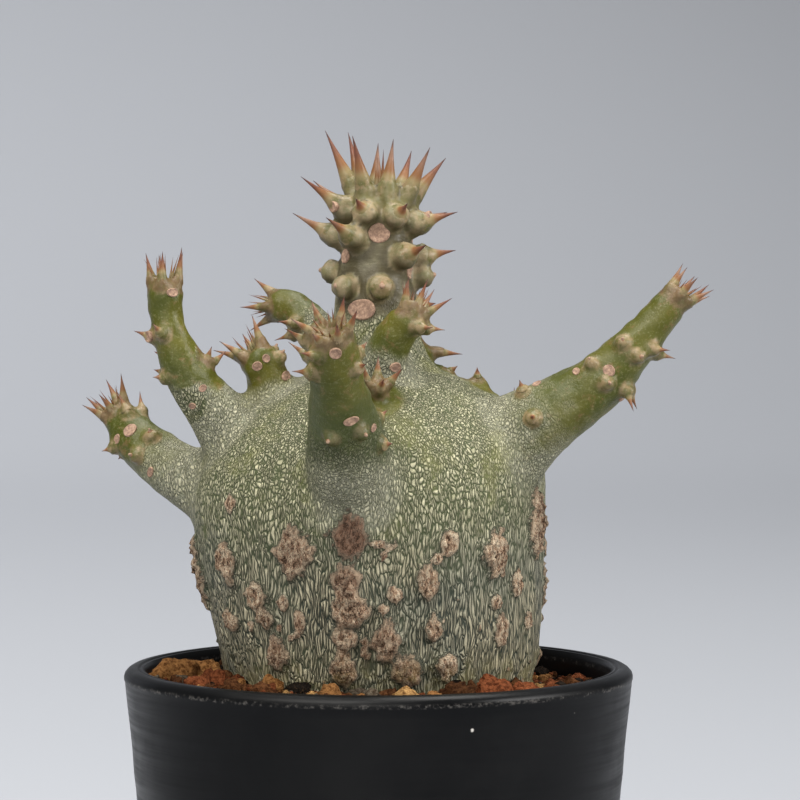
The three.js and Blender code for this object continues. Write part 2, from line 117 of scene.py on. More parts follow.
# Corky scars on the trunk: [azimuth, height, width, length, thickness, paleness]
SCARS = [
    [-9.5, 103.6, 6.5, 8.6, 0.8, 0.1], [-29, 100.8, 7.3, 8.8, 1.1, 0.55], [-56, 98.6, 5, 7.4, 1.1, 0.9],
    [-45, 93, 4.6, 6, 1.3, 0.9], [-42, 89.2, 4, 4, 1.2, 0.8], [-38, 83.2, 4.5, 6.5, 1.2, 0.5],
    [-59, 88.1, 4.6, 4.2, 1, 0.8], [-11, 95.6, 5.6, 7, 0.8, 0.35], [-9.5, 91.4, 6.8, 8.4, 1.5, 0.65],
    [-11.5, 86.2, 5, 4.2, 1.3, 0.7], [-13, 80.8, 5.2, 6.2, 1.5, 0.5], [3, 86, 5, 7.4, 1.4, 0.45],
    [11, 80.6, 5.6, 6, 1.6, 0.35], [17.5, 95.9, 4.2, 5.6, 1.2, 0.8], [25, 102.4, 3.6, 5, 1, 0.9],
    [20.5, 99.6, 2.2, 2.2, 0.9, 0.9], [44, 100.3, 6.1, 8.4, 1.3, 0.85], [20, 87.8, 3.2, 4.6, 1.1, 0.9],
    [25.5, 81.3, 4, 4.6, 1.3, 0.8], [45, 91.8, 3, 3, 1, 0.9], [48, 87, 3.6, 5.6, 1.1, 0.7],
    [57, 94.4, 3.8, 4.8, 0.9, 1], [72, 104.6, 6, 12.5, 1.4, 0.7], [6, 93.6, 3.4, 2.6, 0.5, 0.8],
    [2, 91.2, 2, 2.2, 0.7, 0.8], [-53, 108.6, 2.8, 3.4, 0.5, 0.8], [0.5, 102.4, 2.8, 1.8, 0.8, 1],
    [-34, 91.9, 2.6, 3.4, 0.5, 0.7], [-28, 89, 2.6, 4.6, 0.5, 0.6], [65, 87.9, 2.6, 3.4, 0.8, 0.9],
    [-78, 95, 5, 13, 1.2, 0.6], [100, 92, 5, 9, 1.2, 0.7], [120, 99, 5, 7, 1.2, 0.4],
    [126, 83, 6, 8, 1.4, 0.6], [145, 92, 5, 6, 1.2, 0.8], [163, 101, 5, 9, 1.1, 0.3],
    [172, 84, 6, 9, 1.4, 0.6], [192, 94, 5, 7, 1.2, 0.7], [210, 82, 5, 6, 1.3, 0.8],
    [222, 98, 6, 10, 1.2, 0.5], [247, 86, 5, 8, 1.2, 0.7],
]

# Stems: their line and girth as [x, y, z, radius]; pairs of spines as [share of the way along, azimuth about
# the stem, lean towards the tip, spine length]; crown spines as [azimuth, lean, spine length]; scars that
# fallen leaves left as [share, azimuth, width, height]; and the crown's share of the way along
Stem = namedtuple("Stem", "name spur line pairs crown scars crown_share", defaults=[(), 0.95])
STEMS = [
    Stem("main", "stout", [
        [0, 0, 121, 16], [-0.3, 0, 129, 11.6], [-0.5, 0, 136, 8.2], [-0.5, 0, 143, 7.3],
        [-0.4, 0, 149, 6.6], [0.1, 0, 155, 5.6], [0.6, 0, 160, 4.6], [0.8, 0, 163, 2.6],
    ], [
        [0.4, 150, 10, 2.6], [0.485, -18, 6, 0.4], [0.53, 112, 10, 0.8], [0.54, 228, 10, 0.8],
        [0.665, -62, 22, 7.3], [0.615, 64, 18, 4.7], [0.66, 180, 20, 6], [0.775, 0, 28, 3.2],
        [0.78, -98, 29, 8.6], [0.755, 98, 23, 6.2], [0.79, 190, 30, 6.4],
    ], [
        [-98, 60, 10.6], [-132, 66, 10], [-40, 67, 9], [60, 66, 8.1], [98, 55, 7.8], [150, 62, 7.9],
        [10, 86, 8], [200, 86, 7.4],
    ], [
        [0.715, 0, 4.6, 4.2], [0.4, -18, 5.8, 4.2], [0.61, -60, 3, 3.2], [0.82, -66, 2.6, 2.4],
        [0.82, 72, 2.6, 2.4], [0.56, 64, 3, 2.8], [0.7, 100, 3.2, 3], [0.6, 178, 3.4, 3],
        [0.48, 112, 4, 3.4], [0.48, 228, 4, 3.4],
    ], 0.86),
    Stem("right", "slim", [
        [12, -3, 111.6, 11.6], [20, -5, 116.2, 9.4], [26, -8, 120.8, 7.4], [31, -10, 124.2, 6],
        [36.5, -11, 127.8, 5.2], [40.5, -11.5, 131.2, 4.6], [43.5, -12, 134.6, 3.9],
        [46.3, -12, 137.6, 3.4], [49, -12, 140.8, 3.2], [50.9, -12, 143, 2.9], [51.9, -12, 144.1, 1.9],
    ], [
        [0.26, -40, 20, 1.4], [0.42, 178, 50, 3.4], [0.46, -18, 20, 0.8], [0.5, 84, -22, 3.4],
        [0.57, 190, 40, 0.8], [0.66, 70, 30, 2.8], [0.6, -4, 30, 0.6],
    ], [
        [0, 62, 4.2], [60, 70, 4.4], [120, 58, 3.8], [178, 64, 4.4], [235, 72, 4.2], [300, 80, 3.8],
        [90, 84, 4.2],
    ], [[0.41, -52, 2, 1.6], [0.5, -8, 2.6, 2.4], [0.47, 76, 3, 2.6], [0.3, -78, 2.4, 2]]),
    Stem("left upper", "slim", [
        [-19, -2, 112, 9], [-24.6, -4, 118.6, 6.6], [-28.8, -6, 124.2, 5], [-32.4, -8, 129, 4.2],
        [-34.6, -9, 133.6, 3.7], [-36.2, -9, 137.6, 3.1], [-36.9, -9, 141, 2.9], [-37, -9, 144.6, 3.2],
        [-37, -9, 146.6, 2.2],
    ], [[0.44, -92, 30, 1.4], [0.62, -48, 38, 2.6], [0.5, 190, 30, 2.6]], [
        [-86, 78, 4.2], [-10, 84, 4.4], [70, 82, 5.2], [120, 78, 4.4], [200, 74, 4],
    ], [[0.88, 28, 2.6, 1.8], [0.36, 16, 1.8, 1.4], [0.33, -30, 1.6, 1.4], [0.64, -64, 2.2, 2.2]]),
    Stem("left upper shoot", "short", [
        [-32.6, -8, 126.6, 3.4], [-31, -8, 130, 2.4], [-29.8, -8, 133, 1.5],
    ], [], [[0, 70, 2], [80, 62, 2.2]]),
    Stem("left lower", "slim", [
        [-20, 1, 105.5, 9], [-29, 1, 109.8, 6.9], [-35.3, 3, 112.6, 5.3], [-40.4, 6, 116, 4.7],
        [-43.4, 8, 118.4, 4.2], [-45.6, 10, 120.8, 3.6], [-46.9, 11, 122.4, 3.1], [-47.6, 11, 123.3, 2],
    ], [[0.42, 6, 20, 0.8], [0.46, 176, 40, 2.4], [0.6, -96, 20, 1.4], [0.66, 60, 62, 3.6]], [
        [-60, 66, 4], [0, 74, 3.6], [80, 56, 4.6], [150, 66, 4.2], [230, 70, 3.8],
    ], [[0.56, 10, 3.2, 2.6], [0.6, -36, 2.4, 2], [0.34, -30, 2.4, 1.6]]),
    Stem("front", "slim", [
        [-1.5, -12, 106, 8.6], [-4.6, -24.5, 114, 7.6], [-5.3, -31, 120, 6.6], [-6, -36, 125.4, 5.5],
        [-6.6, -40, 130.4, 4.5], [-7.1, -43.5, 134.7, 4.1], [-7.3, -45.5, 137.2, 3.8],
        [-7.5, -46.5, 138.5, 2.5],
    ], [
        [0.3, 92, 20, 1.2], [0.4, 4, 20, 0.8], [0.66, -88, 34, 3.6], [0.8, -70, 40, 3.8],
        [0.66, 84, 40, 1.6], [0.55, 180, 30, 3],
    ], [[-100, 50, 3.8], [-40, 60, 2.6], [20, 70, 3.4], [75, 60, 4], [140, 62, 3.6], [210, 66, 3.6]], [
        [0.46, 18, 3.4, 1.8], [0.86, 6, 2.4, 2.4], [0.38, 60, 2, 1.6],
    ]),
    Stem("left bud stem", "slim", [
        [-12, -2, 119, 6.5], [-18, -3, 126.6, 4.6], [-19.8, -4, 130.6, 3.6], [-21.2, -5, 133.2, 3.4],
        [-22, -5, 134.4, 2.2],
    ], [[0.6, 100, 30, 0.8]], [[-100, 52, 4.4], [-60, 66, 3.8], [70, 70, 4.2], [180, 60, 3.6]], [
        [0.72, -10, 2.2, 2], [0.74, 26, 1.8, 1.8], [0.42, 60, 3, 2],
    ]),
    Stem("behind left", "slim", [
        [-4, 6, 128, 6], [-9.5, 10, 136, 3.8], [-12.6, 12, 139.4, 3.3], [-15.6, 13.5, 141.6, 3.2],
        [-18, 14.5, 142.2, 3], [-19, 15, 142.3, 2],
    ], [[0.4, -60, 30, 3]], [[-90, 60, 4.4], [-10, 70, 4], [90, 58, 3.8], [180, 66, 4]]),
    Stem("right of main", "slim", [
        [2, -6, 124, 6], [1.2, -11, 131.3, 4.4], [2, -13, 135.4, 3.6], [3.9, -14, 138.4, 3.3],
        [5.2, -14.5, 140.2, 3.2], [5.7, -14.5, 141.4, 2],
    ], [[0.78, 70, 30, 2.6]], [
        [-40, 74, 4.4], [20, 84, 5], [80, 48, 4.8], [140, 66, 4.4], [220, 70, 4.2],
    ], [[0.3, 30, 2.6, 2.2]]),
    Stem("front tuft", "slim", [
        [-0.5, -14, 121, 4], [-0.4, -18.5, 126, 2.8], [-0.2, -20, 129, 2],
    ], [], [[-60, 72, 4], [20, 60, 2], [90, 56, 3.2], [180, 70, 3]]),
    Stem("right shoulder bud", "slim", [
        [1.5, 2, 126, 5], [6, 4.5, 132.4, 3.6], [8.2, 5, 135.6, 2.6],
    ], [], [[90, 30, 3.6], [-60, 50, 0.8]]),
    Stem("right low bud", "short", [
        [6, 3, 124, 5], [10.6, 5, 129, 2.7], [12.4, 5.5, 130.4, 1.8],
    ], [], [[90, 40, 1.6], [0, 50, 1.2]]),
    Stem("right round bud", "short", [
        [16, -1, 118, 5], [17.4, 0, 125, 2.8], [17.5, 0.5, 128, 2.4], [17.5, 0.5, 129.6, 1.2],
    ], [], [[0, 76, 1], [180, 76, 1]]),
    Stem("back", "slim", [
        [-2, 9, 114, 9], [-5, 22, 122, 6], [-5.5, 28, 128, 4.6], [-4.5, 32.5, 134, 4],
        [-3.5, 34.5, 138, 3.6], [-3.2, 35, 139.4, 2.4],
    ], [[0.52, 180, 30, 3], [0.7, 60, 40, 3]], [
        [0, 66, 4], [75, 72, 4], [150, 62, 4], [220, 70, 4], [290, 66, 4],
    ], [[0.5, 170, 2.6, 2.2], [0.62, 110, 2.2, 2]]),
    Stem("back right", "slim", [
        [12, 13, 106, 8.5], [19.5, 23, 111, 5.8], [24, 29.5, 115.5, 4.4], [26.5, 33, 119.5, 3.6],
        [27.3, 34, 121.2, 2.4],
    ], [[0.6, 160, 40, 3]], [[0, 66, 3.8], [90, 70, 4], [180, 62, 4], [270, 70, 3.8]], [
        [0.5, 120, 2.4, 2],
    ]),
    Stem("back left", "slim", [
        [-13, 12, 105, 8.5], [-20.5, 21, 109.5, 5.8], [-25, 27.5, 114, 4.4], [-27.5, 31, 118, 3.7],
        [-28.2, 32, 119.8, 2.4],
    ], [[0.6, 200, 40, 3]], [[0, 66, 3.8], [90, 70, 4], [180, 62, 4], [270, 70, 3.8]], [
        [0.5, 230, 2.4, 2],
    ]),
]
TRUNK_STEPS = 46
TRUNK_SIDES = 96
STEM_SIDES = 24
SPUR_SIDES = 16

# A spine stands on a swollen foot, the spur, which runs out into it: [foot radius, rise, half gap of a pair]
SPURS = {"stout": (2.35, 3.6, 25), "slim": (1.4, 1.6, 27), "short": (1.1, 1.1, 30)}
SPUR_SINK = 1.6
# Girth of a spine from its foot's widest place to its tip, as shares of the foot
PAIR_GIRTH = [[share] for share in (1.0, 0.93, 0.74, 0.53, 0.38, 0.28, 0.21, 0.15, 0.10, 0.055, 0.015)]
CROWN_GIRTH = [[share] for share in (0.85, 0.78, 0.69, 0.58, 0.47, 0.37, 0.28, 0.20, 0.13, 0.07, 0.015)]
WORN_GIRTH = [[share] for share in (0.94, 0.92, 0.88, 0.8, 0.7, 0.57, 0.43, 0.32, 0.23, 0.17, 0.1)]
# Slender spines that crowd a crown: how many, how far along and out they stand, their foot's radius, and
# the ranges of their lean and of their length as a share of the crown's longest spine
FINE_SPINES = {
    "stout": (5, 0.93, 0.3, 0.95, (80, 88), (0.66, 0.84)),
    "slim": (10, 0.97, 0.5, 0.48, (58, 86), (0.75, 1.1)),
}
SPINE_STEPS = 11
SPINE_SIDES = 12

LEAF_SCAR_SIDES = 22
# A leaf scar from under the bark over its raised edge to its middle, as [share of its size, rise]
LEAF_SCAR_PROFILE = [
    [0.92, -0.9], [1.0, -0.15], [0.97, 0.02], [0.88, 0.1], [0.76, 0.03], [0.4, -0.02], [0.08, 0.06]]

# Marks of the skin on the body's vertices, in the order in which they are written and read
SKIN_MARKS = ("stem", "cork", "spur", "bloom", "shade", "pale", "neck", "crown")
# Edge length of the trunk's and the stems' first skin, in which the stems' feet flow into the trunk
CORE_GRAIN = 1.1
# Middle of the pale patch under the front stem
PALE_PATCH_X = -3.6

# Camera, from the photograph's framing: what it looks at, how far off it stands and its tilt
CAMERA_TARGET = (3.8, 0.0, 125.65)
CAMERA_DISTANCE = 600.0
CAMERA_TILT = 2.146
CAMERA_LENS = 152.7

# The backdrop's section as [y, z] and the lamps, in metres: [name, place, size, share of the key power,
# colour, what it faces]
SWEEP = [(-4.0, 0.0), (1.1, 0.0), (1.4, 0.03), (1.65, 0.14), (1.8, 0.34), (1.86, 0.65), (1.88, 3.0)]
LAMPS = [
    ("key", (-0.45, -0.68, 1.15), 0.75, 0.95, (1.0, 0.97, 0.92), (0, 0, 0.11)),
    ("top", (0.18, 0.15, 1.3), 0.75, 0.7, (1.0, 0.98, 0.94), (0, 0, 0.11)),
    ("right", (1.15, -0.4, 0.6), 0.6, 0.85, (1.0, 0.98, 0.96), (0, 0, 0.11)),
    ("front", (-0.3, -1.95, 0.45), 1.35, 0.95, (1.0, 0.97, 0.92), (0, 0, 0.11)),
    ("wall", (0.0, 0.75, 1.7), 1.2, 0.35, (0.97, 0.98, 1.0), (0, 1.8, 0.2)),
]


def colour_setting(name, description, default):
    """A colour setting."""
    return bpy.props.FloatVectorProperty(
        name=name, description=description, default=default, size=3, min=0, max=1, subtype="COLOR")


def length_setting(name, description, default, low, high):
    """A setting for a length in millimetres."""
    return bpy.props.FloatProperty(
        name=name, description=description, default=default * MM, min=low * MM, max=high * MM,
        precision=5, unit="LENGTH")


class PlantSettings(bpy.types.PropertyGroup):
    """Sizes and colours of the plant."""

    grain: length_setting("Surface grain", "Edge length of the plant's finished mesh", 0.585, 0.3, 2)
    bark_light: colour_setting("Bark cells", "The raised pale cells of the bark", (0.47, 0.45, 0.30))
    bark_dark: colour_setting("Bark furrows", "The furrows between the cells", (0.013, 0.019, 0.014))
    stem_green: colour_setting("Stem green", "The smooth young stems", (0.046, 0.053, 0.004))
    cork: colour_setting("Cork", "The corky scars", (0.68, 0.45, 0.29))
    spine_root: colour_setting("Spine foot", "A spine where it leaves its foot", (0.20, 0.155, 0.07))
    spine_middle: colour_setting("Spine middle", "A spine at its middle", (0.145, 0.05, 0.026))
    spine_tip: colour_setting("Spine tip", "A spine at its tip", (0.045, 0.02, 0.018))
    leaf_scar: colour_setting("Leaf scar", "The scars that fallen leaves left", (0.33, 0.21, 0.14))


class PotSettings(bpy.types.PropertyGroup):
    """Shape and colour of the pot."""

    steps: bpy.props.IntProperty(
        name="Steps round", description="Number of faces round the pot", default=168, min=48, max=360)
    plastic: colour_setting("Plastic", "The pot's plastic", (0.0012, 0.0014, 0.0018))


class SoilSettings(bpy.types.PropertyGroup):
    """How the loose grains lie."""

    grains: bpy.props.IntProperty(
        name="Grains", description="How many loose grains are tried", default=520, min=0, max=2000)
    grit: bpy.props.IntProperty(
        name="Grit", description="How many fine crumbs are tried between the grains", default=1500,
        min=0, max=4000)
    smallest: length_setting("Smallest grain", "Radius of the smallest grain", 0.7, 0.3, 3)
    largest: length_setting("Largest grain", "Radius of the largest loose grain", 2.5, 1, 6)


class StageSettings(bpy.types.PropertyGroup):
    """Floor, light and air."""

    floor: colour_setting("Floor", "The floor and backdrop", (0.27, 0.284, 0.312))
    ambient: bpy.props.FloatProperty(
        name="Ambient light", description="Strength of the even light from all round", default=0.34, min=0)
    key: bpy.props.FloatProperty(
        name="Key power", description="Power that each lamp has a share of", default=21.4, min=0,
        unit="POWER")


def spline(points, share):
    """The point at a share of the way along a smooth curve through the points."""
    last = len(points) - 1
    place = min(max(share, 0.0), 1.0) * last
    i = min(int(place), last - 1)
    t = place - i
    b, c = points[i], points[i + 1]
    a = points[i - 1] if i > 0 else [2 * p - q for p, q in zip(b, c)]
    d = points[i + 2] if i + 2 <= last else [2 * q - p for p, q in zip(b, c)]
    out = []
    for p0, p1, p2, p3 in zip(a, b, c, d):
        m1, m2 = (p2 - p0) / 2, (p3 - p1) / 2
        out.append(
            (2 * t**3 - 3 * t**2 + 1) * p1 + (t**3 - 2 * t**2 + t) * m1
            + (3 * t**2 - 2 * t**3) * p2 + (t**3 - t**2) * m2)
    return out


def smoothstep(low, high, value):
    """0 below low, 1 above high and a smooth rise between them."""
    t = min(max((value - low) / (high - low), 0.0), 1.0)
    return t * t * (3 - 2 * t)


Place = namedtuple("Place", "middle along front side radius")


def place_on(line, share):
    """The middle, direction, front, side and radius of a stem at a share of the way along it."""
    *middle, radius = spline(line, share)
    ahead = Vector(spline(line, share + 0.01)[:3]) - Vector(spline(line, share - 0.01)[:3])
    along = ahead.normalized()
    front = (FRONT - along * FRONT.dot(along)).normalized()
    return Place(Vector(middle), along, front, along.cross(front), radius)


def radial(at, azimuth):
    """The direction out of a stem at an azimuth about it."""
    turn = math.radians(azimuth)
    return at.front * math.cos(turn) + at.side * math.sin(turn)


def leaning(at, out, lean):
    """A direction out of a stem, turned towards its tip by a lean in degrees."""
    tilt = math.radians(lean)
    return out * math.cos(tilt) + at.along * math.sin(tilt)


def random_vector(chance, low, high):
    """A vector with three random parts."""
    return Vector([chance.uniform(low, high) for _ in range(3)])


def ring_matrix(middle, along, front, width, depth=None):
    """Puts a unit circle at a place in millimetres, facing along a direction."""
    side = along.cross(front)
    turn = Matrix((front * width, side * (depth or width), along * width)).transposed().to_4x4()
    return Matrix.Scale(MM, 4) @ Matrix.Translation(middle) @ turn


def new_verts(grown):
    """The vertices among what a bmesh operator made."""
    return [item for item in grown if isinstance(item, bmesh.types.BMVert)]


def tube(rings, sides):
    """A small bmesh with a closed tube through the rings, each given as the matrix of a unit circle."""
    part = bmesh.new()
    part.verts.layers.float.new("reach")
    part.verts.layers.float.new("age")
    start = bmesh.ops.create_circle(part, cap_ends=True, radius=1, segments=sides, matrix=rings[0])
    edges = list(part.edges)
    made = list(start["verts"])
    for before, after in zip(rings, rings[1:]):
        grown = bmesh.ops.extrude_edge_only(part, edges=edges)["geom"]
        verts = new_verts(grown)
        fresh = set(verts)
        edges = [
            item for item in grown if isinstance(item, bmesh.types.BMEdge) and fresh.issuperset(item.verts)]
        bmesh.ops.transform(part, matrix=after @ before.inverted(), verts=verts)
        made += verts
    bmesh.ops.contextual_create(part, geom=edges)
    return part, made


def outline(mesh, points):
    """Adds a row of vertices, joined by edges, to a bmesh."""
    verts = [mesh.verts.new(point) for point in points]
    return verts, [mesh.edges.new(pair) for pair in zip(verts, verts[1:])]


def turned(profile, steps):
    """A bmesh turned about the pot's axis from a profile of [radius, height]."""
    mesh = bmesh.new()
    verts, edges = outline(mesh, [Vector((radius, 0, height)) * MM for radius, height in profile])
    bmesh.ops.spin(
        mesh, geom=verts + edges, cent=(0, 0, 0), axis=(0, 0, 1), angle=math.tau, steps=steps,
        use_merge=True)
    bmesh.ops.remove_doubles(mesh, verts=mesh.verts, dist=0.01 * MM)
    return mesh


def append(mesh, part):
    """Adds a small bmesh to a larger one. Operators are quick on the small one."""
    data = bpy.data.meshes.new("part")
    part.to_mesh(data)
    part.free()
    mesh.from_mesh(data, face_normals=False, vertex_normals=False)
    bpy.data.meshes.remove(data)


def add_object(name, mesh):
    """Turns a bmesh into an object at the origin."""
    bmesh.ops.recalc_face_normals(mesh, faces=mesh.faces)
    data = bpy.data.meshes.new(name)
    mesh.to_mesh(data)
    mesh.free()
    piece = bpy.data.objects.new(name, data)
    bpy.context.scene.collection.objects.link(piece)
    return piece


def apply_modifiers(piece):
    """Replaces a piece's mesh with what its modifiers make of it."""
    bpy.context.view_layer.update()
    finished = bpy.data.meshes.new_from_object(piece.evaluated_get(bpy.context.evaluated_depsgraph_get()))
    piece.modifiers.clear()
    piece.data = finished


def coat(piece, material):
    """Shades a piece's faces smoothly and gives it its material."""
    piece.data.polygons.foreach_set("use_smooth", [True] * len(piece.data.polygons))
    piece.data.materials.append(material)


def fuse(piece, grain, rounds):
    """Joins the closed shells of a piece into one skin and smooths it."""
    skin = piece.modifiers.new("Skin", "REMESH")
    skin.mode = "VOXEL"
    skin.voxel_size = grain
    soften = piece.modifiers.new("Soften", "SMOOTH")
    soften.factor = 0.5
    soften.iterations = rounds
    apply_modifiers(piece)


def search_tree(places):
    """A search tree that finds the nearest of the places."""
    tree = KDTree(len(places))
    for i, place in enumerate(places):
        tree.insert(place, i)
    tree.balance()
    return tree


class Graph:
    """A new material, and short ways to add nodes to it."""

    def __init__(self, name, tone, roughness, specular=0.5):
        self.material = bpy.data.materials.new(name)
        self.material.use_nodes = True
        self.tree = self.material.node_tree
        self.shader = self.tree.nodes["Principled BSDF"]
        self.fill(self.shader, {
            "Base Color": (*tone, 1), "Roughness": roughness, "Specular IOR Level": specular})

    def fill(self, node, inputs):
        """Fills or links some inputs of a node."""
        for key, value in inputs.items():
            if isinstance(value, bpy.types.NodeSocket):
                self.tree.links.new(value, node.inputs[key])
            else:
                node.inputs[key].default_value = value

    def add(self, kind, inputs=None, **settings):
        """Adds a node, sets its options and fills or links its inputs."""
        node = self.tree.nodes.new(kind)
        for key, value in settings.items():
            setattr(node, key, value)
        self.fill(node, inputs or {})
        return node

    def place(self, scale=1000.0):
        """Object coordinates, in millimetres unless another scale is given."""
        spot = self.add("ShaderNodeTexCoord").outputs["Object"]
        return self.add("ShaderNodeVectorMath", {0: spot, "Scale": scale}, operation="SCALE").outputs[0]

    def vector(self, operation, first, second):
        """One sum of vectors."""
        return self.add("ShaderNodeVectorMath", {0: first, 1: second}, operation=operation).outputs[0]

    def stretched(self, spot, *scale):
        """Coordinates multiplied along each axis."""
        return self.vector("MULTIPLY", spot, scale)

    def height(self, spot):
        """The height of the coordinates."""
        return self.add("ShaderNodeSeparateXYZ", {0: spot}).outputs["Z"]

    def cells(self, spot, scale, feature):
        """The outputs of a cell texture."""
        return self.add("ShaderNodeTexVoronoi", {"Vector": spot, "Scale": scale}, feature=feature).outputs

    def red(self, tone):
        """The red channel of a colour."""
        return self.add("ShaderNodeSeparateColor", {0: tone}).outputs[0]

    def noise(self, spot, scale, detail=2.0, roughness=0.5, output="Fac"):
        """Soft cloudy noise from 0 to 1."""
        inputs = {"Vector": spot, "Scale": scale, "Detail": detail, "Roughness": roughness}
        return self.add("ShaderNodeTexNoise", inputs).outputs[output]

    def ramp(self, value, low, high, start=0.0, end=1.0, kind="SMOOTHSTEP"):
        """Maps a value's range onto another, within its ends."""
        inputs = {"Value": value, "From Min": low, "From Max": high, "To Min": start, "To Max": end}
        return self.add("ShaderNodeMapRange", inputs, interpolation_type=kind).outputs["Result"]

    def patches(self, spot, scale, detail, roughness, low, high, start=0.0, end=1.0):
        """Noise whose range from low to high is mapped onto another."""
        return self.ramp(self.noise(spot, scale, detail, roughness), low, high, start, end)

    def math(self, operation, first, second=0.0, third=0.0):
        """One sum."""
        return self.add("ShaderNodeMath", {0: first, 1: second, 2: third}, operation=operation).outputs[0]

    def times(self, first, second):
        """The product of two numbers."""
        return self.math("MULTIPLY", first, second)

    def plus(self, first, second):
        """The sum of two numbers."""
        return self.math("ADD", first, second)

    def mix(self, factor, first, second, **settings):
        """Blends two colours."""
        inputs = {0: factor}
        for key, tone in ((6, first), (7, second)):
            inputs[key] = tone if isinstance(tone, bpy.types.NodeSocket) else (*tone[:3], 1)
        return self.add("ShaderNodeMix", inputs, data_type="RGBA", **settings).outputs[2]

    def mix_number(self, factor, first, second):
        """Blends two numbers."""
        return self.add("ShaderNodeMix", {0: factor, 2: first, 3: second}).outputs[0]

    def attribute(self, name, output="Fac"):
        """A value stored on the piece's vertices."""
        return self.add("ShaderNodeAttribute", attribute_name=name).outputs[output]

    def finish(self, tone, relief, depth, strength, **inputs):
        """Gives the shader its colour, its relief with a depth in millimetres, and other inputs."""
        heights = {"Height": relief, "Distance": depth * MM, "Strength": strength}
        bump = self.add("ShaderNodeBump", heights).outputs["Normal"]
        self.fill(self.shader, {"Base Color": tone, "Normal": bump, **inputs})
        return self.material


def foot_tone(graph, spot):
    """The beige-olive colour of the spines' feet."""
    tone = graph.mix(
        graph.patches(spot, 0.5, 4.0, 0.6, 0.38, 0.62), (0.085, 0.08, 0.022), (0.215, 0.155, 0.083))
    return graph.mix(graph.patches(spot, 2.4, 4.0, 0.6, 0.55, 0.75, 0.0, 0.35), tone, (0.40, 0.35, 0.25))


def cell_place(graph, spot, height):
    """Coordinates in which the bark's cells get longer and finer towards the foot of the trunk."""
    tall = graph.times(height, 0.055)
    for start, softness, growth in ((97.0, 14.0, 0.14), (111.0, 12.0, 0.3)):
        above = graph.math("SMOOTH_MAX", graph.math("SUBTRACT", height, start), 0.0, softness)
        tall = graph.plus(tall, graph.times(above, growth))
    flat = graph.add("ShaderNodeSeparateXYZ", {0: spot}).outputs
    place = graph.add("ShaderNodeCombineXYZ", {"X": flat["X"], "Y": flat["Y"], "Z": tall}).outputs[0]
    drift = graph.noise(graph.stretched(spot, 1.0, 1.0, 0.4), 0.34, output="Color")
    drift = graph.vector("SUBTRACT", drift, (0.5, 0.5, 0.5))
    return graph.vector("ADD", place, graph.stretched(drift, 2.6, 2.6, 0.25))


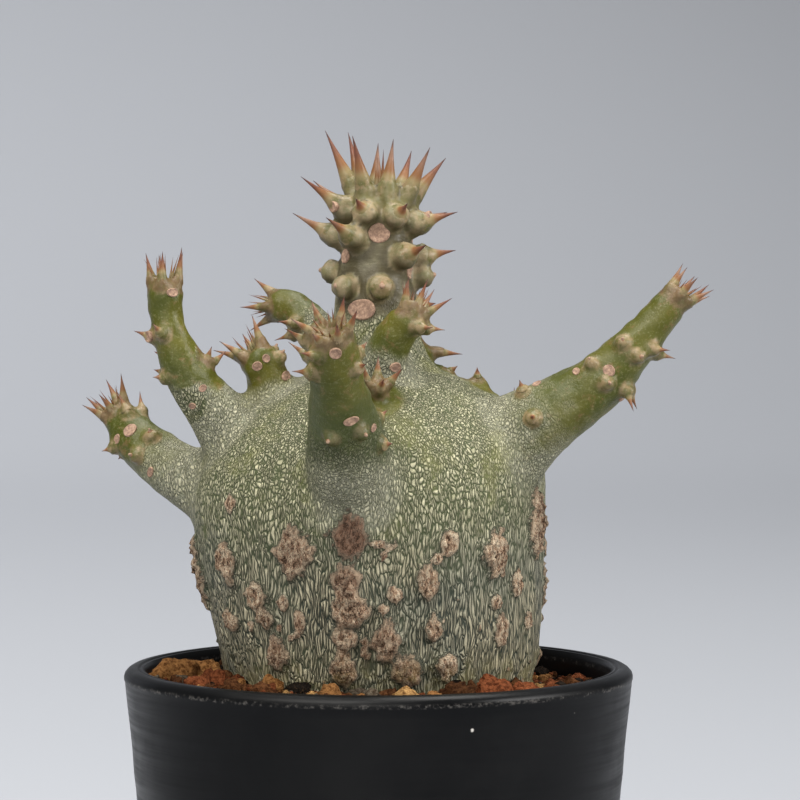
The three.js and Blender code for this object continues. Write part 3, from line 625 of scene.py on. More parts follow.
def bark_material(settings):
    """Bark: pale raised cells in a dark net, long and fine low down, fading to smooth green stems."""
    graph = Graph("plant_bark", settings.bark_light, 0.6)
    spot = graph.place()
    height = graph.height(spot)
    stem, cork, spur, bloom, shade, pale, neck, crown = (graph.attribute(name) for name in SKIN_MARKS)
    place = cell_place(graph, spot, height)
    edge = graph.cells(place, 2.2, "DISTANCE_TO_EDGE")["Distance"]
    pick = graph.red(graph.cells(place, 2.2, "F1")["Color"])
    low = graph.ramp(height, 112.0, 92.0)
    cloud = graph.noise(spot, 0.09, 3.0)
    fine = graph.noise(spot, 2.4, 4.0, 0.6)
    fibre = graph.noise(graph.stretched(place, 1.0, 1.0, 0.7), 3.4, 3.0, 0.6)
    net = graph.ramp(edge, 0.015, graph.plus(0.12, graph.times(graph.ramp(fibre, 0.3, 0.7), 0.16)))

    # Upper cells are cream and green, lower ones grey, over a green or blue-green ground
    light = graph.mix(graph.ramp(pick, 0.1, 0.9), (0.25, 0.245, 0.15), settings.bark_light)
    light = graph.mix(graph.times(low, 0.8), light, (0.37, 0.33, 0.235))
    light = graph.mix(graph.ramp(fibre, 0.35, 0.7, 0.0, 0.7), light, (0.14, 0.14, 0.092))
    dusk = graph.patches(spot, 0.055, 2.0, 0.5, 0.42, 0.62, 0.0, 0.55)
    light = graph.mix(graph.times(dusk, low), light, (0.15, 0.165, 0.135))
    ground = graph.mix(low, (0.04, 0.052, 0.018), settings.bark_dark)
    ground = graph.mix(graph.ramp(cloud, 0.35, 0.65, 0.0, 0.4), ground, (0.055, 0.065, 0.03))
    bark = graph.mix(net, ground, light)
    tint = graph.patches(spot, 0.14, 3.0, 0.5, 0.5, 0.7, 0.0, 0.35)
    bark = graph.mix(graph.times(graph.ramp(height, 96.0, 112.0), tint), bark, (0.19, 0.19, 0.06))

    # Silvery bloom at the branches' feet, yellow-green moss tint just over the soil
    bark = graph.mix(graph.times(bloom, graph.ramp(fine, 0.3, 0.7, 0.1, 0.5)), bark, (0.40, 0.39, 0.31))
    moss = graph.times(graph.ramp(height, 86.0, 75.0), graph.patches(spot, 0.35, 3.0, 0.5, 0.4, 0.65))
    bark = graph.mix(graph.times(moss, 0.6), bark, (0.24, 0.21, 0.09))

    # Green stems with russet patches and pale flecks, and a grey wrinkled neck
    green = graph.mix(graph.ramp(cloud, 0.35, 0.7), settings.stem_green, (0.082, 0.077, 0.008))
    green = graph.mix(graph.patches(spot, 0.45, 5.0, 0.7, 0.55, 0.68, 0.0, 0.55), green, (0.16, 0.095, 0.04))
    flecks = graph.patches(spot, 1.7, 5.0, 0.7, 0.52, 0.66)
    green = graph.mix(graph.times(flecks, 0.3), green, (0.24, 0.23, 0.12))
    wrinkles = graph.patches(graph.stretched(spot, 0.5, 0.5, 2.2), 1.2, 4.0, 0.6, 0.35, 0.65)
    wrinkled = graph.mix(wrinkles, (0.13, 0.12, 0.065), (0.27, 0.245, 0.155))
    skin = graph.mix(stem, bark, graph.mix(graph.times(neck, 0.9), green, wrinkled))

    # Paler swollen feet under the spines, browner ends of the stems, and painted shade in the crevices,
    # under the spines' feet and on the front stem
    foot = graph.mix(graph.times(neck, 0.2), foot_tone(graph, spot), (0.34, 0.30, 0.20))
    skin = graph.mix(graph.times(spur, 0.9), skin, foot)
    worn = graph.times(crown, graph.patches(spot, 0.7, 4.0, 0.65, 0.38, 0.6, 0.3, 0.8))
    skin = graph.mix(worn, skin, graph.mix(neck, (0.105, 0.06, 0.028), (0.10, 0.092, 0.03)))
    # Painted shade colour: dark green on the stems, dark olive-brown on the main stem's neck
    painted_shade_tone = graph.mix(neck, (0.03, 0.042, 0.012), (0.045, 0.036, 0.016))
    skin = graph.mix(graph.times(shade, graph.mix_number(neck, 0.6, 0.88)), skin, painted_shade_tone)

    # Cork: pale brown crumbs with dark cracks, ragged at its edge, with painted highlights on the crumbs,
    # painted shade between them and a painted shadow round each patch
    crumb = graph.noise(graph.stretched(spot, 1.0, 1.0, 0.5), 1.3, 6.0, 0.74)
    wave = graph.noise(graph.stretched(spot, 1.5, 1.5, 0.5), 0.75, 4.0, 0.62)
    crack = graph.math("ABSOLUTE", graph.math("SUBTRACT", wave, 0.5))
    tone = graph.mix(pale, (0.23, 0.12, 0.075), settings.cork)
    # Painted shade in the hollows between the crumbs, where their relief is low
    tone = graph.mix(graph.ramp(crumb, 0.49, 0.38), tone, (0.095, 0.052, 0.028))
    # Painted highlights on the crumbs' raised tops
    tone = graph.mix(graph.times(pale, graph.ramp(crumb, 0.48, 0.56)), tone, (0.92, 0.76, 0.55))
    tone = graph.mix(graph.ramp(crack, 0.004, 0.028, 0.85, 0.0), tone, (0.035, 0.02, 0.014))
    ragged = graph.plus(cork, graph.times(graph.math("SUBTRACT", crumb, 0.5), 0.7))
    patch = graph.ramp(ragged, 0.36, 0.46)
    # Painted shadow: a dark ring on the bark round each cork patch
    skin = graph.mix(graph.ramp(ragged, 0.18, 0.36, 0.0, 0.45), skin, (0.055, 0.055, 0.038))
    tone = graph.mix(graph.times(graph.ramp(ragged, 0.66, 0.5), 0.45), tone, (0.47, 0.39, 0.28))
    tone = graph.mix(graph.times(moss, 0.75), tone, (0.22, 0.165, 0.035))
    skin = graph.mix(patch, skin, tone)

    # Raised cells on the trunk, crumbs on the cork, and a soft sheen on the stems
    plain = graph.math("SUBTRACT", 1.0, graph.math("MAXIMUM", stem, patch))
    relief = graph.plus(graph.times(graph.ramp(edge, 0.0, 0.3), plain), graph.times(fine, 0.3))
    relief = graph.plus(relief, graph.times(graph.times(crumb, patch), 14.0))
    rough = graph.mix_number(stem, graph.ramp(fine, 0.3, 0.7, 0.5, 0.68), 0.38)
    graph.fill(graph.shader, {"Specular IOR Level": graph.mix_number(stem, 0.22, 0.26)})
    return graph.finish(skin, relief, 0.32, 1.0, Roughness=graph.mix_number(patch, rough, 0.92))


def spine_material(settings):
    """Spines: tan at the foot, red-brown along the shaft, nearly black at the tip."""
    graph = Graph("spine_horn", settings.spine_middle, 0.42, 0.3)
    spot = graph.place()
    reach = graph.attribute("reach")
    age = graph.attribute("age")
    streak = graph.noise(spot, 1.3, 4.0, 0.6)
    shaft = graph.mix(graph.ramp(streak, 0.3, 0.7), settings.spine_middle, (0.10, 0.035, 0.02))
    shaft = graph.mix(graph.times(age, 0.6), shaft, (0.36, 0.26, 0.18))
    warm = graph.mix(graph.ramp(reach, 0.34, 0.5), settings.spine_root, (0.17, 0.075, 0.028))
    tone = graph.mix(graph.ramp(reach, 0.24, 0.4), foot_tone(graph, spot), warm)
    tone = graph.mix(graph.ramp(reach, 0.5, 0.72), tone, shaft)
    dry = graph.times(graph.ramp(reach, 0.78, 0.98), graph.ramp(age, 0.9, 0.8))
    tone = graph.mix(dry, tone, settings.spine_tip)
    return graph.finish(tone, streak, 0.08, 0.6, Roughness=graph.ramp(streak, 0.3, 0.7, 0.34, 0.55))


def leaf_scar_material(settings):
    """Leaf scars: pinkish tan, dry and slightly cracked."""
    graph = Graph("leaf_scar_cork", settings.leaf_scar, 0.75)
    speck = graph.noise(graph.place(), 1.6, 5.0, 0.65)
    tone = graph.mix(graph.ramp(speck, 0.35, 0.65), (0.17, 0.10, 0.07), settings.leaf_scar)
    tone = graph.mix(graph.ramp(speck, 0.58, 0.76, 0.0, 0.7), tone, (0.52, 0.39, 0.30))
    return graph.finish(tone, speck, 0.15, 0.8)


def plastic_material(settings):
    """Black plastic with fine rub marks, dust specks and a scuffed line under the bead."""
    graph = Graph("pot_plastic", settings.plastic, 0.36, 0.14)
    spot = graph.place()
    height = graph.height(spot)
    rub = graph.noise(graph.stretched(spot, 0.03, 0.03, 1.0), 0.9, 4.0, 0.6)
    cloud = graph.noise(spot, 0.06, 4.0, 0.6)
    dust = graph.cells(spot, 0.11, "F1")
    speck = graph.patches(spot, 2.6, 3.0, 0.7, 0.4, 0.5)
    speck = graph.times(graph.ramp(dust["Distance"], 0.05, 0.02), speck)
    speck = graph.times(speck, graph.ramp(graph.red(dust["Color"]), 0.6, 0.62))
    band = graph.times(graph.ramp(height, 76.3, 76.7), graph.ramp(height, 77.4, 76.9))
    scuff = graph.times(band, graph.patches(spot, 1.1, 5.0, 0.75, 0.48, 0.64))
    tone = graph.mix(graph.ramp(cloud, 0.4, 0.75, 0.0, 0.5), settings.plastic, (0.0035, 0.0037, 0.0041))
    tone = graph.mix(graph.times(scuff, 0.35), tone, (0.16, 0.15, 0.14))
    tone = graph.mix(speck, tone, (0.5, 0.48, 0.45))
    rough = graph.plus(graph.ramp(rub, 0.3, 0.7, -0.05, 0.08), graph.ramp(cloud, 0.3, 0.7, 0.32, 0.44))
    return graph.finish(tone, rub, 0.03, 0.5, Roughness=rough)


def grit_material(name, tinted):
    """Mineral grains: each has its own tone, with pits and pale dust."""
    graph = Graph(name, GRAIN_TONES["brown"], 0.9, 0.05)
    spot = graph.place()
    pits = graph.noise(spot, 1.2, 6.0, 0.7)
    crust = graph.noise(spot, 3.6, 4.0, 0.7)
    if tinted:
        tone = graph.attribute("tone", "Color")
    else:
        tone = graph.mix(pits, (0.008, 0.006, 0.004), (0.045, 0.022, 0.010))
    tone = graph.mix(graph.ramp(pits, 0.6, 0.36), tone, (0.3, 0.24, 0.2), blend_type="MULTIPLY")
    tone = graph.mix(graph.ramp(crust, 0.58, 0.75, 0.0, 0.35), tone, (0.40, 0.22, 0.10))
    return graph.finish(tone, graph.plus(pits, graph.times(crust, 0.5)), 0.9, 1.0)


def trunk_tube(mesh):
    """The trunk as a tube between its left and right edges, slightly flattened and with low lobes."""
    rings = []
    for i in range(TRUNK_STEPS + 1):
        left, right, height = spline(TRUNK_EDGES, i / TRUNK_STEPS)
        middle = Vector(((left + right) / 2, 0, height))
        half = max((right - left) / 2, 0.3)
        rings.append(ring_matrix(middle, UP, FRONT, half * TRUNK_DEPTH_SHARE, half))
    part, verts = tube(rings, TRUNK_SIDES)
    for vert in verts:
        x, y, height = vert.co / MM
        azimuth = math.atan2(x, -y)
        lobes = 0.4 * math.sin(4 * azimuth + height / 16) + 0.25 * math.sin(7 * azimuth - height / 11)
        push = lobes * smoothstep(66, 84, height) * smoothstep(8, 24, math.hypot(x, y))
        vert.co += Vector((math.sin(azimuth), -math.cos(azimuth), 0)) * push * MM
    append(mesh, part)


def stem_tube(mesh, stem, start, end):
    """A stretch of a stem as a tube."""
    steps = max(4, int(4 * (len(stem.line) - 1) * (end - start)))
    rings = []
    for i in range(steps + 1):
        at = place_on(stem.line, start + (end - start) * i / steps)
        rings.append(ring_matrix(at.middle, at.along, at.front, at.radius))
    append(mesh, tube(rings, STEM_SIDES)[0])


Spur = namedtuple("Spur", "base aim foot widest height girths worn crown", defaults=[False, False])


def all_spurs():
    """Where each spine stands: its base, aim, foot, widest place, full height and girths."""
    spurs = []
    for stem in STEMS:
        foot, rise, half_gap = SPURS[stem.spur]
        marks = [
            (share, azimuth + side * half_gap, lean, length, False)
            for share, azimuth, lean, length in stem.pairs for side in (-1, 1)]
        marks += [(stem.crown_share, *spine, True) for spine in stem.crown]
        for share, azimuth, lean, length, crown in marks:
            at = place_on(stem.line, share)
            out = radial(at, azimuth)
            worn = length < 1
            girths = CROWN_GIRTH if crown else (WORN_GIRTH if worn else PAIR_GIRTH)
            spurs.append(Spur(
                at.middle + out * max(0.0, at.radius - 0.5), leaning(at, out, lean), foot,
                (0.35 if crown else 0.7) * rise, rise + length, girths, worn, crown))
    return spurs


def fine_spines(chance):
    """The slender spines that crowd the ends of the stems."""
    spines = []
    for stem in STEMS:
        if stem.spur not in FINE_SPINES or len(stem.line) < 4:
            continue
        count, share, spread, foot, leans, lengths = FINE_SPINES[stem.spur]
        at = place_on(stem.line, share)
        longest = max(length for _azimuth, _lean, length in stem.crown)
        for i in range(count):
            out = radial(at, (i + chance.uniform(-0.3, 0.3)) * 360 / count)
            aim = leaning(at, out, chance.uniform(*leans))
            height = longest * chance.uniform(*lengths)
            spines.append(Spur(at.middle + out * at.radius * spread, aim, foot, 0.0, height, CROWN_GIRTH))
    return spines


def spur_ring(spur, t, swell):
    """A ring about a spine, from its foot's widest place at 0 to its tip at 1."""
    up = spur.widest + (spur.height - spur.widest) * t
    front = spur.aim.orthogonal().normalized()
    girth = spline(spur.girths, t)[0] * spur.foot * swell
    return ring_matrix(spur.base + spur.aim * up, spur.aim, front, girth)


def spur_tube(mesh, spur):
    """The swollen foot under a spine."""
    front = spur.aim.orthogonal().normalized()
    foot = spur.foot * spur.girths[0][0]
    rings = [
        ring_matrix(spur.base - spur.aim * SPUR_SINK, spur.aim, front, 0.74 * foot),
        ring_matrix(spur.base + spur.aim * 0.3 * spur.widest, spur.aim, front, 0.92 * foot)]
    ends = (0, 0.2, 0.4, 0.6, 0.8, 0.97) if spur.worn else (0, 0.08, 0.16, 0.24, 0.32)
    rings += [spur_ring(spur, t, 1.03) for t in ends]
    append(mesh, tube(rings, SPUR_SIDES)[0])


def scar_cover(azimuth, height, radius, wobble):
    """How much cork lies at a place on the trunk, how thick it is in millimetres and how pale."""
    cover, thick, pale = 0.0, 0.0, 0.6
    for scar_azimuth, middle, width, length, thickness, paleness in SCARS:
        turn = (azimuth - scar_azimuth + 180) % 360 - 180
        across = math.radians(turn) * radius / (width / 2)
        along = (height - middle) / (length / 2)
        if abs(across) < 2 and abs(along) < 2:
            spread = abs(across) ** 1.6 + abs(along) ** 1.35
            here = math.exp(-((spread * (1 + wobble)) ** 2))
            if here > cover:
                cover, pale = here, paleness
            thick = max(thick, smoothstep(0.2, 0.62, here) * thickness)
    return cover, thick, pale


class PLANT_OT_body(bpy.types.Operator):
    """Makes the trunk, the stems and the spines' feet as one skin"""

    bl_idname = "plant.body"
    bl_label = "Plant body"

    def execute(self, context):
        settings = context.scene.plant_settings
        rough = bmesh.new()
        trunk_tube(rough)
        for stem in STEMS:
            stem_tube(rough, stem, 0.0, 0.4 if stem.name == "main" else 0.45)
        core = add_object("core", rough)
        fuse(core, CORE_GRAIN * MM, 10)

        mesh = bmesh.new()
        mesh.from_mesh(core.data)
        bpy.data.objects.remove(core)
        for stem in STEMS:
            stem_tube(mesh, stem, 0.1, 1.0)
        spurs = all_spurs()
        for spur in spurs:
            spur_tube(mesh, spur)
        body = add_object("plant_body", mesh)
        fuse(body, settings.grain, 4)
        self.mark_skin(body, spurs)
        coat(body, bark_material(settings))
        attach(body, "root")
        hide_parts("plant")
        return {"FINISHED"}

    def mark_skin(self, body, spurs):
        """Raises the cork and the folds, and writes the marks of the skin on the vertices."""
        samples = []
        for stem in STEMS:
            for i in range(41):
                at = place_on(stem.line, i / 40)
                samples.append((at.middle, at.radius, i / 40, stem.name))
        near_stem = search_tree([middle for middle, *_rest in samples])
        marks = []
        for spur in spurs:
            crown = float(spur.crown)
            marks += [(spur.base + spur.aim * spur.widest * up, spur.foot, crown) for up in (0.4, 1)]
            for t in (0.12, 0.25, 0.4):
                up = spur.widest + (spur.height - spur.widest) * t
                marks.append((spur.base + spur.aim * up, spline(spur.girths, t)[0] * spur.foot, crown))
        near_spur = search_tree([middle for middle, *_rest in marks])
        moved = []
        rows = []
        for vert in body.data.vertices:
            spot = vert.co / MM
            _place, index, distance = near_stem.find(spot)
            _middle, radius, share, name = samples[index]
            main = name == "main"
            margin = 7.0 if main else 2.6
            close = smoothstep(margin, 0.4 * margin, distance - 1.2 * radius)
            start = {"main": 0.26, "right": 0.14}.get(name, 0.24)
            on_stem = close * smoothstep(start, start + 0.24, share + 0.08 * noise.noise(spot * 0.3))
            _place, index, distance = near_spur.find(spot)
            _middle, foot, crown = marks[index]
            reach = distance / (foot + 0.3)
            on_spur = smoothstep(1.14, 0.95, reach)
            on_stem = max(on_stem, on_spur)
            trunk = 1 - on_stem

            # Cork over the marked scars, and small bits of it over the lower trunk
            azimuth = math.degrees(math.atan2(spot.x, -spot.y))
            wobble = 0.4 * noise.noise(spot * 0.5) + 0.35 * noise.noise(spot * 1.2)
            cover, thick, pale = scar_cover(azimuth, spot.z, math.hypot(spot.x, spot.y), wobble)
            bits = noise.noise(Vector((spot.x, spot.y, spot.z * 0.7)) * 0.4 + Vector((9, 0, 0)))
            bits = smoothstep(0.48, 0.62, bits + 0.3 * wobble) * smoothstep(107, 98, spot.z)
            cover, thick = max(cover, 0.8 * bits) * trunk, max(thick, 0.6 * bits)

            # Relief of the cork, of the trunk's folds, of the stems and of the spines' feet
            crumbs = 0.5 + 1.1 * noise.turbulence(Vector((spot.x, spot.y, spot.z * 0.6)) * 1.1, 3, True)
            folds = noise.noise(Vector((spot.x * 0.42, spot.y * 0.42, spot.z * 0.07)))
            folds += 0.6 * noise.noise(Vector((spot.x * 0.95, spot.y * 0.95, spot.z * 0.14)))
            low = smoothstep(112, 92, spot.z)
            push = trunk * (thick * crumbs + 0.2 * low * folds + 0.06 * noise.noise(spot * 0.7))
            push += on_stem * (1 - on_spur) * 0.3 * noise.noise(spot * 0.42)
            push += on_spur * foot * (0.16 * noise.noise(spot * 0.45) + 0.07 * noise.noise(spot * 1.2))
            moved.extend(vert.co + vert.normal * push * MM)

            # Bloom at a stem's foot, painted shade in its crevices and under its spines, a painted shadow on
            # the front stem, and its worn brown end
            bloom = close * smoothstep(0.08, 0.22, share) * smoothstep(0.6, 0.35, share)
            painted_shade_share = 0.0
            if main:
                bloom *= 0.4
                # Painted shade in the crevices of the main stem's neck, beside the spines' feet
                painted_shade_share = smoothstep(0.3, 0.42, share) * smoothstep(0.92, 1.05, reach)
                painted_shade_share *= smoothstep(2.6, 1.2, reach)
            elif name == "front":
                bloom = close * smoothstep(9.5, 4.5, abs(spot.x - PALE_PATCH_X))
                bloom *= smoothstep(120, 113, spot.z) * smoothstep(97, 110, spot.z)
                # Painted shadow on the front stem, above its pale foot
                painted_shade_share = smoothstep(0.12, 0.3, share) * smoothstep(113, 119, spot.z)
                painted_shade_share *= smoothstep(0.7, 0.4, share)
            # Painted shade: the spines' feet are darker on their undersides, where their normals face down
            under = on_spur * smoothstep(0.15, -0.7, vert.normal.z) * (0.85 if main else 0.5)
            end = 0.0 if main else close * smoothstep(0.88, 0.97, share)
            rows.append((
                on_stem, cover, on_spur, bloom, max(close * painted_shade_share, under), pale, close * main,
                max(end, on_spur * crown)))
        body.data.vertices.foreach_set("co", moved)
        for name, column in zip(SKIN_MARKS, zip(*rows)):
            body.data.attributes.new(name, "FLOAT", "POINT").data.foreach_set("value", column)


class PLANT_OT_spines(bpy.types.Operator):
    """Makes the spines, each a slightly bent cone"""

    bl_idname = "plant.spines"
    bl_label = "Spines"

    def execute(self, context):
        chance = random.Random(SEED)
        mesh = bmesh.new()
        for spur in all_spurs() + fine_spines(chance):
            length = spur.height - spur.widest
            bend = Vector((0, 0, chance.uniform(-0.7, 0.7))) + random_vector(chance, -1, 1) * 0.5
            bend -= spur.aim * bend.dot(spur.aim)
            worn = 1.0 if spur.worn else 0.7 * chance.random() ** 2
            rings = []
            for i in range(SPINE_STEPS + 1):
                t = i / SPINE_STEPS
                swell = 0.86 + (0.14 if spur.foot > 2 else 0.0) * smoothstep(0, 0.25, t)
                if spur.worn:
                    swell *= 0.97 if t > 0.8 else 0.66
                shift = Matrix.Translation(bend * 0.06 * length * t * t * MM)
                rings.append(shift @ spur_ring(spur, t, swell))
            part, verts = tube(rings, SPINE_SIDES)
            reach = part.verts.layers.float["reach"]
            age = part.verts.layers.float["age"]
            for i, vert in enumerate(verts):
                vert[reach] = (i // SPINE_SIDES) / SPINE_STEPS
                vert[age] = worn
            append(mesh, part)
        piece = add_object("spines", mesh)
        coat(piece, spine_material(context.scene.plant_settings))
        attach(piece, "root")
        return {"FINISHED"}


class PLANT_OT_leaf_scars(bpy.types.Operator):
    """Makes the dry scars that fallen leaves left on the stems"""

    bl_idname = "plant.leaf_scars"
    bl_label = "Leaf scars"

    def execute(self, context):
        body = bpy.data.objects["plant_body"]
        skin = BVHTree.FromObject(body, context.evaluated_depsgraph_get())
        mesh = bmesh.new()
        for stem, share, azimuth, width, height in [(stem, *scar) for stem in STEMS for scar in stem.scars]:
            at = place_on(stem.line, share)
            out = radial(at, azimuth)
            far = at.middle + out * (at.radius + 8)
            spot, normal, _index, _distance = skin.ray_cast(far * MM, -out, 20 * MM)
            if spot is None:
                raise RuntimeError("no bark under a leaf scar of the stem " + stem.name)
            facing = (normal + out).normalized()
            up = (at.along - facing * at.along.dot(facing)).normalized()
            rings = []
            for size, rise in LEAF_SCAR_PROFILE:
                middle = spot / MM + facing * (rise + 0.045 * width)
                rings.append(ring_matrix(middle, facing, up, 0.43 * height * size, 0.43 * width * size))
            part, verts = tube(rings, LEAF_SCAR_SIDES)
            for vert in verts:
                vert.co += facing * noise.noise(vert.co / MM * 1.1) * 0.12 * MM
                vert.co += (vert.co - spot) * 0.12 * noise.noise(vert.co / MM * 0.5)
            append(mesh, part)
        piece = add_object("leaf_scars", mesh)
        coat(piece, leaf_scar_material(context.scene.plant_settings))
        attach(piece, "root")
        return {"FINISHED"}


class PLANT_OT_pot(bpy.types.Operator):
    """Turns the pot's wall, bead and floor, and cuts its drain slots"""

    bl_idname = "plant.pot"
    bl_label = "Pot"

    def execute(self, context):
        settings = context.scene.pot_settings
        foot = POT_WALL[0][0]
        ring = foot - POT_FOOT_RING
        pot = add_object("pot_shell", turned([
            [0, 0], [POT_HUB_RADIUS, 0], [POT_HUB_RADIUS + 0.4, POT_FOOT_RECESS],
            [ring - 0.4, POT_FOOT_RECESS], [ring, 0], [foot - 0.6, 0], [foot - 0.2, 0.25],
            *POT_WALL, *POT_BEAD, [POT_INNER_FOOT + 0.25, POT_FLOOR_TOP + 1],
            [POT_INNER_FOOT - 0.8, POT_FLOOR_TOP], [0, POT_FLOOR_TOP],
        ], settings.steps))

        slots = bmesh.new()
        inner, outer, width = POT_SLOT
        for i in range(POT_SLOTS):
            box = bmesh.ops.create_cube(slots, size=1)["verts"]
            place = Matrix.Rotation(math.tau * (i + 0.5) / POT_SLOTS, 4, "Z")
            place = place @ Matrix.Translation(Vector(((inner + outer) / 2, 0, 1)) * MM)
            size = Vector((outer - inner, width, 12)) * MM
            bmesh.ops.transform(slots, matrix=place @ Matrix.Diagonal((*size, 1)), verts=box)
        cutter = add_object("slots", slots)
        cut = pot.modifiers.new("Slots", "BOOLEAN")
        cut.operation = "DIFFERENCE"
        cut.solver = "EXACT"
        cut.object = cutter
        apply_modifiers(pot)
        bpy.data.objects.remove(cutter)
        pot.data.materials.clear()
        coat(pot, plastic_material(settings))
        pot.data.set_sharp_from_angle(angle=math.radians(38))
        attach(pot, "root")
        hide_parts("pot")
        return {"FINISHED"}


def soil_height(x, y):
    """The soil's top in millimetres."""
    return SOIL_TOP - SOIL_FALL_RIGHT * x - SOIL_FALL_BACK * y


class PLANT_OT_soil(bpy.types.Operator):
    """Fills the pot with a bed of soil and scatters mineral grains over it"""

    bl_idname = "plant.soil"
    bl_label = "Soil"

    def execute(self, context):
        self.make_bed()
        self.make_grains(context.scene.soil_settings)
        return {"FINISHED"}

    def make_bed(self):
        """The bed under the grains."""
        floor = POT_FLOOR_TOP + 0.1
        mesh = turned([
            [0, floor], [POT_INNER_FOOT - 1.2, floor], [POT_INNER_FOOT + 0.1, floor + 1.6],
            *[[SOIL_RADIUS - 1.6 * i, SOIL_TOP] for i in range(11)], [SOIL_HOLE, SOIL_TOP - 3],
            [SOIL_HOLE - 3, SOIL_TOP - SOIL_HOLE_DEPTH], [0, SOIL_TOP - SOIL_HOLE_DEPTH],
        ], SOIL_STEPS)
        for vert in mesh.verts:
            x, y, height = vert.co / MM
            if height > SOIL_TOP - 4:
                crumbs = 0.9 * noise.noise(vert.co / MM * 0.6) + 0.5 * noise.noise(vert.co / MM * 1.4)
                vert.co.z += (soil_height(x, y) - SOIL_TOP - 0.6 + crumbs) * MM
        bed = add_object("soil_bed", mesh)
        coat(bed, grit_material("soil_bed_grit", False))
        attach(bed, "root")
        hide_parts("soil")

    def make_grains(self, settings):
        """The loose grains, the marked ones first."""
        chance = random.Random(SEED)
        grains = [
            (Vector((x, y, top - 0.85 * radius)), radius, kind) for x, y, radius, top, kind in MARKED_GRAINS]
        smallest, largest = settings.smallest / MM, settings.largest / MM
        for i in range(settings.grains + settings.grit):
            low, high = (smallest, largest) if i < settings.grains else (0.6 * smallest, 0.99 * smallest)
            turn = chance.uniform(0, math.tau)
            radius = low + chance.random() ** 1.8 * (high - low)
            out = math.sqrt(chance.uniform(GRAINS_FROM**2, (SOIL_RADIUS - radius) ** 2))
            x, y = out * math.sin(turn), -out * math.cos(turn)
            if math.hypot(x / GRAINS_CLEAR, y / (GRAINS_CLEAR * TRUNK_DEPTH_SHARE)) < 1.0:
                continue
            spot = Vector((x, y, soil_height(x, y) + chance.uniform(-0.3, 0.9)))
            if any((spot - other).length < 0.8 * (radius + girth) for other, girth, _kind in grains):
                continue
            grains.append((spot, radius, chance.choice(GRAIN_KINDS)))
        mesh = bmesh.new()
        for spot, radius, kind in grains:
            part = bmesh.new()
            tone = part.verts.layers.float_color.new("tone")
            fine = 1 + sum(radius > limit for limit in (0.99 * smallest, *GRAIN_LIMITS))
            made = bmesh.ops.create_icosphere(part, subdivisions=fine, radius=1)["verts"]
            stretch = random_vector(chance, 0.78, 1.12)
            offset = random_vector(chance, -50, 50)
            shade = chance.uniform(0.7, 1.35)
            colour = [min(channel * shade, 0.9) for channel in GRAIN_TONES[kind]]
            angle = chance.uniform(0, math.tau)
            turn = Matrix.Rotation(angle, 3, Vector((chance.random(), chance.random(), 1)).normalized())
            for vert in made:
                swell = 1 + 0.34 * noise.noise(vert.co * 1.2 + offset)
                swell += 0.30 * noise.noise(vert.co * 3.1 + offset)
                vert.co = (spot + turn @ (vert.co * stretch) * swell * radius) * MM
                vert[tone] = (*colour, 1)
            append(mesh, part)
        piece = add_object("soil_grains", mesh)
        coat(piece, grit_material("soil_grain_grit", True))
        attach(piece, "root")


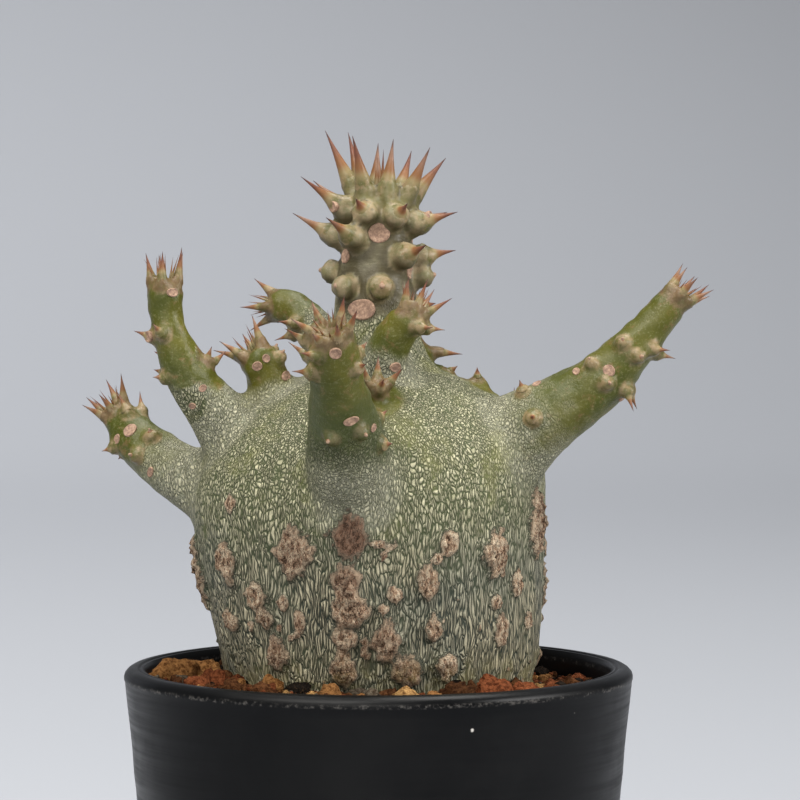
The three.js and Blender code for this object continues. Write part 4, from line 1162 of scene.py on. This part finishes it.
class PLANT_OT_stage(bpy.types.Operator):
    """Sets the floor, the light and the camera"""

    bl_idname = "plant.stage"
    bl_label = "Stage"

    def execute(self, context):
        settings = context.scene.stage_settings
        self.make_floor(settings)
        self.make_light(context.scene, settings)
        self.make_camera(context.scene)
        return {"FINISHED"}

    def make_floor(self, settings):
        """The floor and backdrop in one sweep, with painted light that makes them lighter far off and darker
        to the upper right.
        """
        mesh = bmesh.new()
        _verts, edges = outline(mesh, [(-5, y, z - 0.0002) for y, z in SWEEP])
        grown = bmesh.ops.extrude_edge_only(mesh, edges=edges)["geom"]
        bmesh.ops.translate(mesh, vec=(10, 0, 0), verts=new_verts(grown))
        floor = add_object("floor", mesh)
        bend = floor.modifiers.new("Round", "SUBSURF")
        bend.levels = bend.render_levels = 3
        graph = Graph("floor_paint_and_painted_light", settings.floor, 0.85)
        spot = graph.place(1.0)
        # Painted light: the floor and backdrop are lighter far off and darker towards the upper right
        away = graph.add("ShaderNodeVectorMath", {0: spot}, operation="LENGTH").outputs["Value"]
        slope = graph.add("ShaderNodeVectorMath", {0: spot, 1: (0.9, 0.0, 1.3)}, operation="DOT_PRODUCT")
        fall = graph.ramp(slope.outputs["Value"], -0.25, 0.7, 1.26, 0.68, "LINEAR")
        light = graph.times(graph.ramp(away, 0.3, 1.5, 1.0, 1.35), fall)
        paint_and_painted_light = graph.add("ShaderNodeVectorMath", {0: settings.floor, "Scale": light}, operation="SCALE")
        graph.fill(graph.shader, {"Base Color": paint_and_painted_light.outputs[0]})
        coat(floor, graph.material)

    def make_light(self, scene, settings):
        """Even light from all round, and the lamps."""
        world = bpy.data.worlds.new("soft air")
        world.use_nodes = True
        air = world.node_tree.nodes["Background"].inputs
        air["Color"].default_value = (1.0, 0.97, 0.93, 1)
        air["Strength"].default_value = settings.ambient
        scene.world = world
        for name, place, size, share, colour, target in LAMPS:
            lamp = bpy.data.lights.new(name, "AREA")
            lamp.shape = "SQUARE"
            lamp.size = size
            lamp.energy = share * settings.key
            lamp.color = colour
            light = bpy.data.objects.new(name, lamp)
            light.location = place
            light.rotation_euler = (Vector(target) - Vector(place)).to_track_quat("-Z", "Y").to_euler()
            scene.collection.objects.link(light)

    def make_camera(self, scene):
        """The camera, from the photograph's own place."""
        tilt = math.radians(CAMERA_TILT)
        ahead = Vector((0, math.cos(tilt), -math.sin(tilt)))
        lens = bpy.data.cameras.new("camera")
        lens.lens = CAMERA_LENS
        lens.clip_start = 0.01
        lens.clip_end = 20
        camera = bpy.data.objects.new("camera", lens)
        camera.location = (Vector(CAMERA_TARGET) - ahead * CAMERA_DISTANCE) * MM
        camera.rotation_euler = ahead.to_track_quat("-Z", "Y").to_euler()
        scene.collection.objects.link(camera)
        scene.camera = camera
        scene.view_settings.view_transform = "Standard"


class PLANT_PT_panel(bpy.types.Panel):
    """Lists the steps that make the potted plant"""

    bl_idname = "PLANT_PT_panel"
    bl_label = "Potted plant"
    bl_space_type = "VIEW_3D"
    bl_region_type = "UI"
    bl_category = "Plant"

    def draw(self, context):
        scene = context.scene
        for title, settings, steps in (
                ("Plant", scene.plant_settings, ("plant.body", "plant.spines", "plant.leaf_scars")),
                ("Pot", scene.pot_settings, ("plant.pot",)),
                ("Soil", scene.soil_settings, ("plant.soil",)),
                ("Stage", scene.stage_settings, ("plant.stage",))):
            box = self.layout.box()
            box.label(text=title)
            for name in settings.__annotations__:
                box.prop(settings, name)
            for step in steps:
                box.operator(step)


SETTINGS = (
    ("plant_settings", PlantSettings), ("pot_settings", PotSettings), ("soil_settings", SoilSettings),
    ("stage_settings", StageSettings),
)
OPERATORS = (
    PLANT_OT_body, PLANT_OT_spines, PLANT_OT_leaf_scars, PLANT_OT_pot, PLANT_OT_soil, PLANT_OT_stage)


def register():
    for name, group in SETTINGS:
        bpy.utils.register_class(group)
        setattr(bpy.types.Scene, name, bpy.props.PointerProperty(type=group))
    for operator in OPERATORS:
        bpy.utils.register_class(operator)
    bpy.utils.register_class(PLANT_PT_panel)


def unregister():
    bpy.utils.unregister_class(PLANT_PT_panel)
    for operator in reversed(OPERATORS):
        bpy.utils.unregister_class(operator)
    for name, group in reversed(SETTINGS):
        delattr(bpy.types.Scene, name)
        bpy.utils.unregister_class(group)


def main():
    register()
    bpy.ops.plant.stage()
    bpy.ops.plant.pot()
    bpy.ops.plant.soil()
    bpy.ops.plant.body()
    bpy.ops.plant.spines()
    bpy.ops.plant.leaf_scars()
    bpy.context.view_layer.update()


if __name__ == "__main__":
    main()
